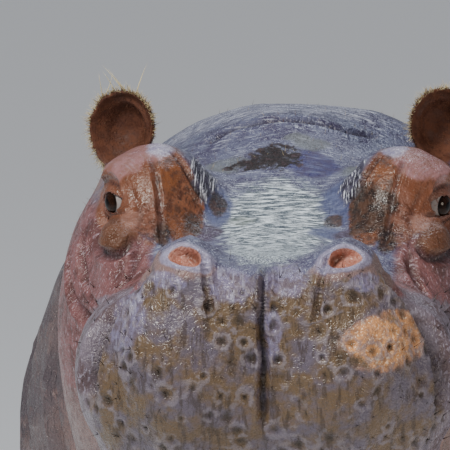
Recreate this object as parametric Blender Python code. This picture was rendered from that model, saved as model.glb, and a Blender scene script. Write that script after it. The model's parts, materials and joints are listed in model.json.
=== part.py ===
"""Life-size hippopotamus that stands with its head up and turned a little to its left.

Z is up, the floor is z = 0 and the animal faces -Y, so +X is its left side. All sizes are in metres.
The hide is modelled in one piece, from a few tapering barrels and rounded lumps that are melted
together. Thin cuts then part it into the pieces that a person would name. The eyes, ears and
toenails are solids of their own, each seated in a pocket.
"""

import math
from dataclasses import dataclass

import bmesh
import bpy
import numpy as np
from mathutils import Euler, Matrix, Vector

# Driving sizes
WITHERS = 1.29  # height of the back over the forelegs
EYE_HEIGHT = 1.45
EYE_FORWARD = 0.78  # from the foreleg's line to the eyes
EYE_SPREAD = 0.168  # from the middle of the head to the centre of each eyeball
EYEBALL = 0.0205  # radius
EYE_LOOKS = 55  # degrees outward from straight ahead
HEAD_TURN = math.radians(30)
TURN_STARTS, TURN_ENDS = 0.10, 0.58  # the stretch of neck that bends, forward of the foreleg's line
TURN_CENTRE = 0.32
TURN_ABOVE, TURN_WHOLLY_ABOVE = 0.38, 0.74  # heights between which the bend fades out downwards
FORELEG_SPREAD, HINDLEG_SPREAD = 0.275, 0.265  # from the middle of the body
HINDLEG_BACK = 1.21  # from the forelegs to the hind legs
ANKLE = 0.165  # height of the cut over each foot
STEP = {"foreleg_left": -0.045, "foreleg_right": 0.04, "hindleg_left": 0.05, "hindleg_right": -0.045}
TOE_FAN = (-62, -20, 20, 62)  # degrees from straight ahead
NAIL_CLEARANCE = 0.004  # from the floor to the nails

# Making
CUT = 0.0005  # width of a cut, and the gap round a seated piece
GRAIN = 0.0095  # voxel size of the melt
HIDE_FACES = 3500
RING = 48  # points round a barrel
SCRAP = 12  # slivers that the cutters leave have fewer points than this
SIDES = (("left", 1), ("right", -1))


@dataclass(frozen=True)
class Foot:
    """Where a foot stands, and the size of its toes."""

    name: str
    side: int
    centre: Vector  # between the toes' roots
    reach: float  # from the centre to the middle of each toe
    toe: float  # half the width of a toe

    def toes(self):
        """Centre and direction, in degrees, of each toe."""
        for angle in TOE_FAN:
            yield self.centre + self.ahead(angle) * self.reach, angle

    def ahead(self, angle):
        """The way a toe points."""
        a = math.radians(angle)
        return Vector((math.sin(a), -math.cos(a), 0))


def clear_scene():
    """Removes every object of the scene that Blender starts with."""
    for obj in list(bpy.data.objects):
        bpy.data.objects.remove(obj)


def paint(name, colour, roughness):
    """A Principled material."""
    material = bpy.data.materials.new(name)
    material.use_nodes = True
    shader = material.node_tree.nodes["Principled BSDF"]
    shader.inputs["Base Color"].default_value = (*colour, 1)
    shader.inputs["Roughness"].default_value = roughness
    return material


def add_object(name, mesh, material=None):
    """Links a new object that shows the mesh."""
    obj = bpy.data.objects.new(name, mesh)
    bpy.context.scene.collection.objects.link(obj)
    if material:
        mesh.materials.clear()
        mesh.materials.append(material)
    return obj


def settled(obj):
    """The object with its modifiers made real."""
    graph = bpy.context.evaluated_depsgraph_get()
    graph.update()
    mesh = bpy.data.meshes.new_from_object(obj.evaluated_get(graph), depsgraph=graph)
    obj.modifiers.clear()
    obj.data = mesh
    return obj


def on_head(x, forward, up):
    """A place given from the point midway between the eyes, before the head is turned."""
    return Vector((x, -EYE_FORWARD - forward, EYE_HEIGHT + up))


def eased(t):
    """A smooth step from 0 to 1."""
    t = max(0.0, min(1.0, t))
    return t * t * (3 - 2 * t)


def turning(share=1.0):
    """The swing of the head to the animal's left, or a share of it."""
    centre = Matrix.Translation((0, -TURN_CENTRE, 0))
    return centre @ Matrix.Rotation(HEAD_TURN * share, 4, "Z") @ centre.inverted()


def turn_head(mesh):
    """Bends the neck, so that all ahead of it swings to the animal's left."""
    for vertex in mesh.vertices:
        reach = eased((-vertex.co.y - TURN_STARTS) / (TURN_ENDS - TURN_STARTS))
        high = eased((vertex.co.z - TURN_ABOVE) / (TURN_WHOLLY_ABOVE - TURN_ABOVE))
        vertex.co = turning(reach * high) @ vertex.co


def swung(shape, share=1.0):
    """The shape carried round with the head."""
    shape.transform(turning(share))
    return shape


# Barrels: closed shapes drawn through a row of stations


def drawn_through(stations, between):
    """Rows on a smooth curve through the stations, with some rows between each two."""
    rows = np.array(stations, float)
    before = np.vstack([rows[:1], rows[:-1]])
    after = np.vstack([rows[1:], rows[-1:]])
    slope = (after - before) / 2
    steps = np.linspace(0, 1, between + 1, endpoint=False)
    made = []
    for here, there, a, b in zip(rows[:-1], rows[1:], slope[:-1], slope[1:]):
        for t in steps:
            keep, lean = 2 * t**3 - 3 * t**2 + 1, t**3 - 2 * t**2 + t
            made.append(keep * here + lean * a + (1 - keep) * there + (t**3 - t**2) * b)
    return [*made, rows[-1]]


def oval(width, up, down, squareness):
    """Points of a superellipse whose upper and lower halves may differ."""
    points = []
    for i in range(RING):
        turn = 2 * math.pi * i / RING
        c, s = math.cos(turn), math.sin(turn)
        side = math.copysign(abs(c) ** (2 / squareness), c) * width
        rise = math.copysign(abs(s) ** (2 / squareness), s) * (up if s > 0 else down)
        points.append((side, rise))
    return points


def barrel_of(rings):
    """A bmesh that joins the rings and closes both ends."""
    shape = bmesh.new()
    rows = [[shape.verts.new(p) for p in ring] for ring in rings]
    for one, two in zip(rows, rows[1:]):
        for i in range(RING):
            j = (i + 1) % RING
            shape.faces.new((one[i], one[j], two[j], two[i]))
    shape.faces.new(rows[0])
    shape.faces.new(rows[-1])
    bmesh.ops.recalc_face_normals(shape, faces=shape.faces)
    return shape


def lying_barrel(stations, between=4):
    """A barrel along the body.

    A station is (y, top, bottom, half width, level of the widest place, squareness), where the level
    is a share of the height.
    """
    rings = []
    for y, top, bottom, width, level, squareness in drawn_through(stations, between):
        middle = bottom + level * (top - bottom)
        outline = oval(width, top - middle, middle - bottom, squareness)
        rings.append([(x, y, middle + z) for x, z in outline])
    return barrel_of(rings)


def standing_barrel(stations, between=4):
    """A barrel down a leg. A station is (z, x, y, half width, half length, squareness)."""
    rings = []
    for z, x, y, width, length, squareness in drawn_through(stations, between):
        outline = oval(width, length, length, squareness)
        rings.append([(x + u, y + v, z) for u, v in outline])
    return barrel_of(rings)


def lump(centre, radii, lean=(0, 0, 0), rings=16):
    """A rounded lump: a ball stretched to three radii and leaned by three angles in degrees."""
    shape = bmesh.new()
    bmesh.ops.create_uvsphere(shape, u_segments=2 * rings, v_segments=rings, radius=1)
    turn = Euler([math.radians(a) for a in lean]).to_matrix().to_4x4()
    shape.transform(Matrix.Translation(centre) @ turn @ Matrix.Diagonal((*radii, 1)))
    return shape


def mirrored(shapes):
    """The shapes and their likenesses on the other side of the body."""
    both = list(shapes)
    for shape in shapes:
        other = shape.copy()
        other.transform(Matrix.Diagonal((-1, 1, 1, 1)))
        bmesh.ops.reverse_faces(other, faces=other.faces)
        both.append(other)
    return both


def joined(name, shapes):
    """One object that holds all the shapes, still loose."""
    mesh = bpy.data.meshes.new(name)
    whole = bmesh.new()
    for shape in shapes:
        part = bpy.data.meshes.new("part")
        shape.to_mesh(part)
        whole.from_mesh(part)
        shape.free()
        bpy.data.meshes.remove(part)
    whole.to_mesh(mesh)
    whole.free()
    return add_object(name, mesh)


RIDGE_WEAR = 0.06  # how much a ridge is worn while the creases fill


def smoothed(obj, repeats, hold, hollows_only=False):
    """Evens out the surface. hold gives each place 0 (free) to 1 (kept); hollows_only fills creases alone."""
    mesh = obj.data
    count = len(mesh.vertices)
    places = np.empty(count * 3)
    mesh.vertices.foreach_get("co", places)
    places = places.reshape(-1, 3)
    edges = np.empty(len(mesh.edges) * 2, int)
    mesh.edges.foreach_get("vertices", edges)
    one, two = edges.reshape(-1, 2).T
    links = np.bincount(one, minlength=count) + np.bincount(two, minlength=count)
    free = 0.5 * (1 - hold(places))
    normals = np.empty(count * 3)
    for turn in range(repeats):
        if turn % 4 == 0:
            mesh.vertices.foreach_set("co", places.ravel())
            mesh.update()
            mesh.vertex_normals.foreach_get("vector", normals)
        mean = np.empty_like(places)
        for axis in range(3):
            ahead = np.bincount(one, places[two, axis], count)
            behind = np.bincount(two, places[one, axis], count)
            mean[:, axis] = (ahead + behind) / links
        move = (mean - places) * free[:, None]
        if hollows_only:
            out = np.sum(move * normals.reshape(-1, 3), axis=1)
            move[out < 0] *= RIDGE_WEAR
        places += move
    mesh.vertices.foreach_set("co", places.ravel())
    mesh.update()


def melt(obj):
    """Fuses all that an object holds into one closed skin."""
    modifier = obj.modifiers.new("melt", "REMESH")
    modifier.mode, modifier.voxel_size, modifier.adaptivity = "VOXEL", GRAIN, 0
    return settled(obj)


# The body


def trunk_shapes():
    """Raised neck and barrel-shaped trunk, with the shoulders, haunches and hanging belly."""
    spine = lying_barrel(
        (
            (-0.66, EYE_HEIGHT + 0.028, 0.98, 0.160, 0.46, 2.1),
            (-0.53, EYE_HEIGHT + 0.058, 0.86, 0.236, 0.42, 2.0),
            (-0.40, EYE_HEIGHT + 0.030, 0.75, 0.305, 0.41, 2.0),
            (-0.25, EYE_HEIGHT - 0.050, 0.64, 0.370, 0.41, 2.1),
            (-0.08, WITHERS + 0.045, 0.545, 0.430, 0.42, 2.2),
            (0.12, WITHERS, 0.455, 0.490, 0.43, 2.2),
            (0.33, WITHERS - 0.022, 0.370, 0.540, 0.43, 2.2),
            (0.56, WITHERS - 0.015, 0.315, 0.575, 0.43, 2.2),
            (0.80, WITHERS + 0.008, 0.305, 0.580, 0.44, 2.2),
            (1.04, WITHERS + 0.010, 0.355, 0.545, 0.46, 2.2),
            (1.26, WITHERS - 0.050, 0.455, 0.465, 0.48, 2.2),
            (1.43, WITHERS - 0.170, 0.575, 0.360, 0.50, 2.2),
            (1.55, WITHERS - 0.340, 0.710, 0.205, 0.50, 2.1),
        )
    )
    lumps = mirrored(
        [
            lump((0.24, 0.00, 0.86), (0.205, 0.26, 0.37), (0, -6, 0)),  # shoulder blade
            lump((0.275, 0.00, 0.62), (0.170, 0.20, 0.26)),  # upper arm
            lump((0.24, 1.17, 0.90), (0.200, 0.31, 0.34), (8, 0, 0)),  # haunch
            lump((0.27, 1.17, 0.66), (0.175, 0.26, 0.28)),  # thigh
        ]
    )
    brisket = lump((0, -0.14, 0.72), (0.26, 0.26, 0.20))
    return [spine, brisket, *lumps]


def feet():
    """The four feet, where the stance puts them."""
    for name, step in STEP.items():
        side = 1 if name.endswith("left") else -1
        if name.startswith("fore"):
            centre, reach, toe = (side * FORELEG_SPREAD, step - 0.035, 0.034), 0.116, 0.048
        else:
            centre, reach, toe = (side * HINDLEG_SPREAD, HINDLEG_BACK + step - 0.022, 0.032), 0.108, 0.045
        yield Foot(name, side, Vector(centre), reach, toe)


def leg_shapes(foot):
    """One leg down through the floor, with its four toes."""
    step = STEP[foot.name]
    if foot.name.startswith("fore"):
        x, y = foot.side * FORELEG_SPREAD, step
        stations = (
            (0.74, x, 0.00, 0.130, 0.170, 2.0),
            (0.57, x, 0.3 * step, 0.138, 0.162, 2.0),
            (0.42, x, 0.6 * step + 0.010, 0.126, 0.140, 2.0),
            (0.29, x, y + 0.010, 0.110, 0.118, 2.0),
            (0.18, x, y + 0.010, 0.105, 0.111, 2.0),
            (0.10, x, y, 0.116, 0.122, 2.1),
            (0.04, x, y - 0.020, 0.128, 0.134, 2.2),
            (-0.05, x, y - 0.020, 0.128, 0.134, 2.2),
        )
    else:
        x, y = foot.side * HINDLEG_SPREAD, HINDLEG_BACK + step
        stations = (
            (0.80, x, HINDLEG_BACK, 0.150, 0.25, 2.0),
            (0.62, x, HINDLEG_BACK + 0.3 * step, 0.150, 0.215, 2.0),
            (0.47, x, y + 0.040, 0.127, 0.153, 2.0),
            (0.35, x, y + 0.060, 0.108, 0.118, 2.0),
            (0.22, x, y + 0.043, 0.099, 0.104, 2.0),
            (0.12, x, y + 0.012, 0.108, 0.115, 2.1),
            (0.04, x, y - 0.010, 0.119, 0.127, 2.2),
            (-0.05, x, y - 0.010, 0.119, 0.127, 2.2),
        )
    size = (0.95 * foot.toe, 1.25 * foot.toe, 1.25 * foot.toe)
    toes = [lump(centre, size, (0, 0, angle)) for centre, angle in foot.toes()]
    return [standing_barrel(stations), *toes]


def tail_shape():
    """The short flat tail, which hangs a little clear of the rump."""
    rings = []
    stations = (
        (1.10, 1.475, 0.070, 0.075),
        (1.03, 1.570, 0.062, 0.055),
        (0.95, 1.633, 0.052, 0.040),
        (0.85, 1.660, 0.042, 0.029),
        (0.75, 1.667, 0.034, 0.021),
        (0.68, 1.665, 0.022, 0.012),
    )
    for z, y, width, thickness in drawn_through(stations, 3):
        rings.append([(u, y + v, z) for u, v in oval(width, thickness, thickness, 2)])
    return barrel_of(rings)


# The head


def head_shapes():
    """Skull, muzzle and cheeks, all given from the point midway between the eyes."""

    def station(forward, top, bottom, *section):
        """A barrel's station, given from the eyes."""
        return (-EYE_FORWARD - forward, EYE_HEIGHT + top, EYE_HEIGHT + bottom, *section)

    skull = lying_barrel(
        (
            station(0.380, -0.020, -0.165, 0.080, 0.42, 2.3),
            station(0.350, 0.008, -0.200, 0.130, 0.40, 2.4),
            station(0.290, 0.008, -0.222, 0.176, 0.34, 2.4),
            station(0.220, -0.004, -0.226, 0.196, 0.34, 2.3),
            station(0.140, -0.014, -0.215, 0.188, 0.38, 2.2),
            station(0.060, -0.012, -0.225, 0.186, 0.40, 2.2),
            station(-0.030, 0.002, -0.260, 0.204, 0.42, 2.2),
            station(-0.120, 0.026, -0.320, 0.220, 0.44, 2.2),
            station(-0.220, 0.046, -0.400, 0.225, 0.46, 2.1),
            station(-0.320, 0.040, -0.450, 0.205, 0.48, 2.1),
        )
    )
    jaw = lying_barrel(
        (
            station(0.335, -0.190, -0.335, 0.090, 0.55, 2.5),
            station(0.308, -0.170, -0.368, 0.142, 0.55, 2.6),
            station(0.240, -0.160, -0.388, 0.175, 0.55, 2.5),
            station(0.150, -0.150, -0.380, 0.174, 0.55, 2.3),
            station(0.050, -0.140, -0.395, 0.184, 0.52, 2.2),
            station(-0.050, -0.120, -0.450, 0.210, 0.50, 2.1),
            station(-0.150, -0.100, -0.500, 0.222, 0.48, 2.1),
            station(-0.260, -0.100, -0.535, 0.200, 0.50, 2.1),
        )
    )
    lumps = mirrored(
        [
            lump(on_head(0.084, 0.322, -0.110), (0.076, 0.082, 0.108), (0, 12, 0)),  # front pad
            lump(on_head(0.134, 0.235, -0.145), (0.076, 0.120, 0.102), (0, 14, 0)),  # lip over the tusk
            lump(on_head(0.145, 0.140, -0.170), (0.052, 0.120, 0.072), (0, 10, 0)),  # lip behind it
            lump(on_head(0.084, 0.312, -0.006), (0.041, 0.064, 0.042), (0, 8, -8)),  # nostril mound
            lump(on_head(0.134, -0.026, 0.001), (0.063, 0.078, 0.061), (0, -8, 0)),  # eye mound
            lump(on_head(0.136, 0.050, -0.052), (0.060, 0.086, 0.056), (0, -6, 0)),  # slope in front of it
            lump(on_head(0.150, 0.040, -0.085), (0.055, 0.120, 0.060)),  # cheekbone
            lump(on_head(0.160, -0.085, -0.190), (0.088, 0.165, 0.200), (0, 4, 0)),  # chewing muscle
            lump(on_head(0.135, -0.120, -0.360), (0.095, 0.170, 0.140), (0, 8, 0)),  # jaw's angle
            lump(on_head(0.158, -0.145, -0.012), (0.050, 0.062, 0.045)),  # root of the ear
        ]
    )
    fold = lump(on_head(0.085, -0.305, -0.020), (0.105, 0.095, 0.070))  # on the inside of the neck's turn
    return [skull, jaw, fold, *lumps]


def facing_out(side, sideways, upward=0):
    """A turn that aims the local x axis so many degrees outward and upward from straight ahead."""
    a, b = math.radians(sideways), math.radians(upward)
    aim = Vector((side * math.sin(a) * math.cos(b), -math.cos(a) * math.cos(b), math.sin(b)))
    across = Vector((0, 0, 1)).cross(aim).normalized()
    return Matrix((aim, across, aim.cross(across))).transposed().to_4x4()


def eyeball(side, radius, rings=9):
    """A plain sphere in the place of an eye."""
    shape = bmesh.new()
    bmesh.ops.create_uvsphere(shape, u_segments=2 * rings, v_segments=rings, radius=radius)
    shape.transform(Matrix.Translation(eye_centre(side)))
    return swung(shape)


def eye_centre(side):
    """Centre of an eyeball."""
    return on_head(side * EYE_SPREAD, -0.008, -0.001)


def eye_hollow(side):
    """The almond dish between the lids, to be cut from the head."""
    shape = bmesh.new()
    bmesh.ops.create_uvsphere(shape, u_segments=20, v_segments=10, radius=1)
    aim = facing_out(side, EYE_LOOKS)
    shift = Matrix.Translation(eye_centre(side)) @ aim @ Matrix.Translation((0.026, 0, 0))
    shape.transform(shift @ Matrix.Diagonal((0.017, 0.022, 0.0145, 1)))
    return swung(shape)


def nostril_hollow(side):
    """The slanting nostril, a shallow dish on top of its mound."""
    shape = bmesh.new()
    bmesh.ops.create_uvsphere(shape, u_segments=18, v_segments=10, radius=1)
    shift = Matrix.Translation(on_head(side * 0.086, 0.362, 0.020)) @ facing_out(side, 14, 44)
    tilt = Matrix.Rotation(math.radians(-14 * side), 4, "X")
    shape.transform(shift @ tilt @ Matrix.Diagonal((0.010, 0.0185, 0.0115, 1)))
    return swung(shape)


# Ears: a cup that opens forward and outward. A point is (share of the radius, depth along the opening).
EAR_WIDTH, EAR_HEIGHT = 0.041, 0.046  # half sizes of the rim
EAR_PRICKED = 0.006  # how much higher the left ear is held
EAR_RING = 20  # points round it
EAR_CUP = (
    (0.30, -0.0335),
    (0.62, -0.0280),
    (0.86, -0.0160),
    (0.99, -0.0030),
    (0.995, 0.0030),
    (0.93, 0.0050),
    (0.85, 0.0010),
    (0.70, -0.0080),
    (0.42, -0.0190),
)
EAR_HULL = ((0.30, -0.0335), (0.62, -0.0280), (0.86, -0.0160), (0.99, -0.0030), (0.99, 0.0070))


def ear_shape(side, profile, back, front, grow=0.0):
    """An ear from its profile, closed by a point at the back and one at the front."""
    shape = bmesh.new()
    rings = []
    for share, depth in profile:
        ring = []
        for i in range(EAR_RING):
            turn = 2 * math.pi * i / EAR_RING
            narrow = 1 - 0.13 * share * max(0, -math.cos(turn))
            u = (EAR_WIDTH * share + grow) * math.sin(turn) * narrow
            w = (EAR_HEIGHT * share + grow) * math.cos(turn)
            ring.append(shape.verts.new((depth - (grow if depth < 0 else 0), u, w)))
        rings.append(ring)
    for one, two in zip(rings, rings[1:]):
        for i in range(EAR_RING):
            j = (i + 1) % EAR_RING
            shape.faces.new((one[i], one[j], two[j], two[i]))
    for ring, depth in ((rings[0], back - grow), (rings[-1], front)):
        tip = shape.verts.new((depth, 0, 0))
        for i in range(EAR_RING):
            shape.faces.new((ring[i], ring[(i + 1) % EAR_RING], tip))
    bmesh.ops.recalc_face_normals(shape, faces=shape.faces)
    centre = on_head(side * 0.180, -0.140, 0.050 + (EAR_PRICKED if side > 0 else 0))
    lean = Matrix.Rotation(math.radians(-12 * side), 4, Vector((0, 1, 0)))
    shape.transform(Matrix.Translation(centre) @ lean @ facing_out(side, 24, 4))
    return swung(shape)


def trimmed_below(shape, height):
    """Cuts the shape off flat at this height and closes it."""
    everything = [*shape.verts, *shape.edges, *shape.faces]
    floor = {"plane_co": (0, 0, height), "plane_no": (0, 0, -1)}
    cut = bmesh.ops.bisect_plane(shape, geom=everything, clear_outer=True, **floor)
    rim = [e for e in cut["geom_cut"] if isinstance(e, bmesh.types.BMEdge)]
    bmesh.ops.edgeloop_fill(shape, edges=rim)
    return shape


def nails(grow=0.0):
    """Each toe's nail by name: a blunt cap on the front of the toe, flat above the floor."""
    for foot in feet():
        end, flank = foot.name.split("leg_")
        radii = (0.80 * foot.toe + grow, 0.46 * foot.toe + grow, 0.68 * foot.toe + grow)
        for number, (place, angle) in enumerate(foot.toes(), 1):
            centre = place + foot.ahead(angle) * foot.toe * 0.83 - Vector((0, 0, 0.003))
            shape = lump(centre, radii, (-12, 0, angle), rings=5)
            yield f"nail_{end}_{flank}_{number}", trimmed_below(shape, NAIL_CLEARANCE - grow)


# Melting, cutting and naming


def hide():
    """The whole skin as one closed mesh, with flat soles at z = 0."""
    legs = [shape for foot in feet() for shape in leg_shapes(foot)]
    body = joined("hide", [*trunk_shapes(), *legs, tail_shape(), *head_shapes()])
    melt(body)

    def hold(places):
        """1 on the head, toes and tail, where small forms have to stay, and 0 on the body."""
        head = (-0.42 - places[:, 1]) / 0.16
        toes = (0.15 - places[:, 2]) / 0.08
        tail = (places[:, 1] - 1.57) / 0.03
        return np.clip(np.maximum(np.maximum(head, toes), tail), 0, 1)

    smoothed(body, 60, lambda places: 0.5 * hold(places), hollows_only=True)
    smoothed(body, 40, lambda places: 0.9 * hold(places))
    thin_out(body)
    turn_head(body.data)
    stand_flat(body)
    return body


def thin_out(body):
    """Leaves fewer, larger faces on the body than on the head and feet."""
    group = body.vertex_groups.new(name="coarse")
    for vertex in body.data.vertices:
        head = min(1, max(0, (-0.36 - vertex.co.y) / 0.12))
        foot = min(1, max(0, (0.16 - vertex.co.z) / 0.06))
        group.add([vertex.index], 1 - max(0.9 * head, 0.15 * foot), "REPLACE")
    modifier = body.modifiers.new("thin out", "DECIMATE")
    modifier.ratio = HIDE_FACES / (2 * len(body.data.vertices))
    modifier.vertex_group, modifier.vertex_group_factor = group.name, 0.12
    settled(body)
    body.vertex_groups.clear()


def stand_flat(body):
    """Trims the legs to flat soles at z = 0."""
    shape = bmesh.new()
    shape.from_mesh(body.data)
    trimmed_below(shape, 0)
    bmesh.ops.triangulate(shape, faces=shape.faces)
    shape.to_mesh(body.data)
    shape.free()


def slab(centre, normal, across, along):
    """A thin flat cutter."""
    shape = bmesh.new()
    bmesh.ops.create_cube(shape, size=1)
    turn = Vector(normal).to_track_quat("Z", "Y").to_matrix().to_4x4()
    shape.transform(Matrix.Translation(centre) @ turn @ Matrix.Diagonal((across, along, CUT, 1)))
    return shape


def shell(centre, radii):
    """A thin closed egg-shaped cutter."""
    outer = lump(centre, radii, rings=8)
    inner = lump(centre, [r - CUT for r in radii], rings=8)
    bmesh.ops.reverse_faces(inner, faces=inner.faces)
    part = bpy.data.meshes.new("part")
    inner.to_mesh(part)
    outer.from_mesh(part)
    inner.free()
    bpy.data.meshes.remove(part)
    return outer


# The line of the mouth and then the back edge of the lower jaw, as (forward, up) from the eyes
JAW_LINE = (
    (0.48, -0.214),
    (0.385, -0.214),
    (0.33, -0.232),
    (0.27, -0.253),
    (0.20, -0.253),
    (0.13, -0.226),
    (0.07, -0.194),
    (0.035, -0.190),
    (0.010, -0.224),
    (-0.015, -0.300),
    (-0.030, -0.400),
    (-0.035, -0.620),
)


def jaw_sheet():
    """A thin bent cutter that parts the lower jaw from the head."""
    shape = bmesh.new()
    line = [on_head(0, d, h) for d, h in drawn_through(JAW_LINE, 2)]
    beyond = Vector((0.4, 0, 0))  # past the head on either side
    rows = []
    for before, here, after in zip([line[0], *line], line, [*line[1:], line[-1]]):
        along = (after - before).normalized()
        off = Vector((0, -along.z, along.y)) * CUT / 2
        corners = (here + off - beyond, here + off + beyond, here - off + beyond, here - off - beyond)
        rows.append([shape.verts.new(corner) for corner in corners])
    for one, two in zip(rows, rows[1:]):
        for i in range(4):
            j = (i + 1) % 4
            shape.faces.new((one[i], one[j], two[j], two[i]))
    shape.faces.new(rows[0])
    shape.faces.new(rows[-1])
    bmesh.ops.recalc_face_normals(shape, faces=shape.faces)
    return shape


def cut_away(body, shapes):
    """Takes the shapes out of the body one after another."""
    for shape in shapes:
        cutter = joined("cutter", [shape])
        cutter.hide_render, cutter.display_type = True, "WIRE"
        modifier = body.modifiers.new("cut", "BOOLEAN")
        modifier.operation, modifier.solver, modifier.object = "DIFFERENCE", "EXACT", cutter
        settled(body)
        bpy.data.objects.remove(cutter)


# Where the middle of the top of each part of the hide is expected
TOPS = {
    "head": turning() @ on_head(0, 0.03, 0.06),
    "lower_jaw": turning() @ on_head(0, 0.16, -0.20),
    "neck": Vector((0.02, -0.31, 1.50)),
    "trunk": Vector((0, 0.67, 1.34)),
    "tail": Vector((0, 1.63, 1.04)),
    "foreleg_left": Vector((0.27, 0, 1.02)),
    "foreleg_right": Vector((-0.27, 0, 1.02)),
    "hindleg_left": Vector((0.27, 1.18, 1.04)),
    "hindleg_right": Vector((-0.27, 1.18, 1.04)),
    "forefoot_left": Vector((0.27, -0.07, 0.17)),
    "forefoot_right": Vector((-0.27, 0, 0.17)),
    "hindfoot_left": Vector((0.27, 1.24, 0.17)),
    "hindfoot_right": Vector((-0.27, 1.16, 0.17)),
}


def parted(body):
    """The separate pieces of the hide, by name."""
    shape = bmesh.new()
    shape.from_mesh(body.data)
    waiting = set(shape.verts)
    pieces = {}
    while waiting:
        found, edge = set(), [waiting.pop()]
        while edge:
            vertex = edge.pop()
            if vertex not in found:
                found.add(vertex)
                edge += [e.other_vert(vertex) for e in vertex.link_edges]
        waiting -= found
        if len(found) < SCRAP:
            continue
        places = np.array([v.co for v in found])
        top = Vector((places.max(0) + places.min(0)) / 2)
        top.z = places[:, 2].max()
        name = min(TOPS, key=lambda n: (TOPS[n] - top).length)
        if name in pieces:
            raise ValueError(f"two pieces claim the name {name}: {top}")
        pieces[name] = {v.index for v in found}
    shape.free()
    missing = set(TOPS) - set(pieces)
    if missing:
        raise ValueError(f"not parted: {missing}")
    return {name: piece_of(body.data, keep) for name, keep in pieces.items()}


def piece_of(mesh, keep):
    """A copy of the mesh that holds only the given vertices."""
    shape = bmesh.new()
    shape.from_mesh(mesh)
    bmesh.ops.delete(shape, geom=[v for v in shape.verts if v.index not in keep], context="VERTS")
    made = bpy.data.meshes.new("piece")
    shape.to_mesh(made)
    shape.free()
    return made


def cuts():
    """Every cutter that parts the hide."""
    made = [
        swung(slab((0, -0.520, 1.22), (0, 0.985, 0.17), 1.2, 1.0)),  # behind the ears and jaw
        swung(slab((0, -0.215, 1.00), (0, 0.97, -0.24), 1.6, 1.5), 0.13),  # root of the neck
        slab((0, 1.592, 1.015), (0, 0.80, -0.60), 0.16, 0.12),  # root of the tail
        swung(jaw_sheet()),
    ]
    for foot in feet():
        if foot.name.startswith("fore"):
            made.append(shell((foot.side * 0.288, -0.01, 0.12), (0.205, 0.285, 0.90)))
        else:
            made.append(shell((foot.side * 0.285, HINDLEG_BACK, 0.12), (0.205, 0.315, 0.92)))
        ankle = Vector((foot.centre.x, foot.centre.y + 0.04, ANKLE))
        made.append(slab(ankle, (0, 0, 1), 0.34, 0.34))
    return made


# Base colour and roughness of each finish, and the finish of each kind of piece
HEAD_HIDE = (0.30, 0.20, 0.19), 0.35
BODY_HIDE = (0.24, 0.19, 0.20), 0.45
FINISHES = {
    "head": HEAD_HIDE,
    "lower": HEAD_HIDE,
    "ear": ((0.22, 0.09, 0.06), 0.55),
    "eye": ((0.03, 0.018, 0.012), 0.08),
    "nail": ((0.16, 0.13, 0.11), 0.40),
}


def seated_pieces():
    """The eyes, ears and nails, by name."""
    for flank, side in SIDES:
        yield f"ear_{flank}", ear_shape(side, EAR_CUP, -0.0350, -0.0230)
        yield f"eye_{flank}", eyeball(side, EYEBALL)
    yield from nails()


def hollows():
    """The pockets of the seated pieces, and the nostrils."""
    for _, side in SIDES:
        yield ear_shape(side, EAR_HULL, -0.0350, 0.0075, grow=CUT)
        yield eye_hollow(side)
        yield nostril_hollow(side)
        yield eyeball(side, EYEBALL + 2 * CUT)
    for _, shape in nails(grow=CUT):
        yield shape


def centred_on_floor(meshes):
    """Moves all the meshes so that the middle of the whole stands over the origin."""
    corners = np.array([v.co for mesh in meshes for v in mesh.vertices])
    middle = (corners.max(0) + corners.min(0)) / 2
    for mesh in meshes:
        mesh.transform(Matrix.Translation((-middle[0], -middle[1], 0)))


def main():
    """Builds the animal."""
    clear_scene()
    body = hide()
    cut_away(body, [*hollows(), *cuts()])
    meshes = parted(body)
    bpy.data.objects.remove(body)
    for name, shape in seated_pieces():
        meshes[name] = bpy.data.meshes.new(name)
        shape.to_mesh(meshes[name])
        shape.free()
    centred_on_floor(meshes.values())
    for name, mesh in meshes.items():
        mesh.name = name
        add_object(name, mesh, paint(name, *FINISHES.get(name.split("_")[0], BODY_HIDE)))
        mesh.shade_smooth()


main()
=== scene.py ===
"""The looks of a life-size standing hippopotamus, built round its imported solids.

One wet skin covers all the flesh. The eyes, the nails and the bristles are pieces of their own.
"""

import json
import logging
import math
from dataclasses import dataclass, field, fields
from enum import Enum, IntEnum
from functools import reduce
from typing import Callable

import bmesh
import bpy
import numpy as np
from mathutils import Matrix, Vector
from mathutils.bvhtree import BVHTree
from mathutils.kdtree import KDTree

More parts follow.
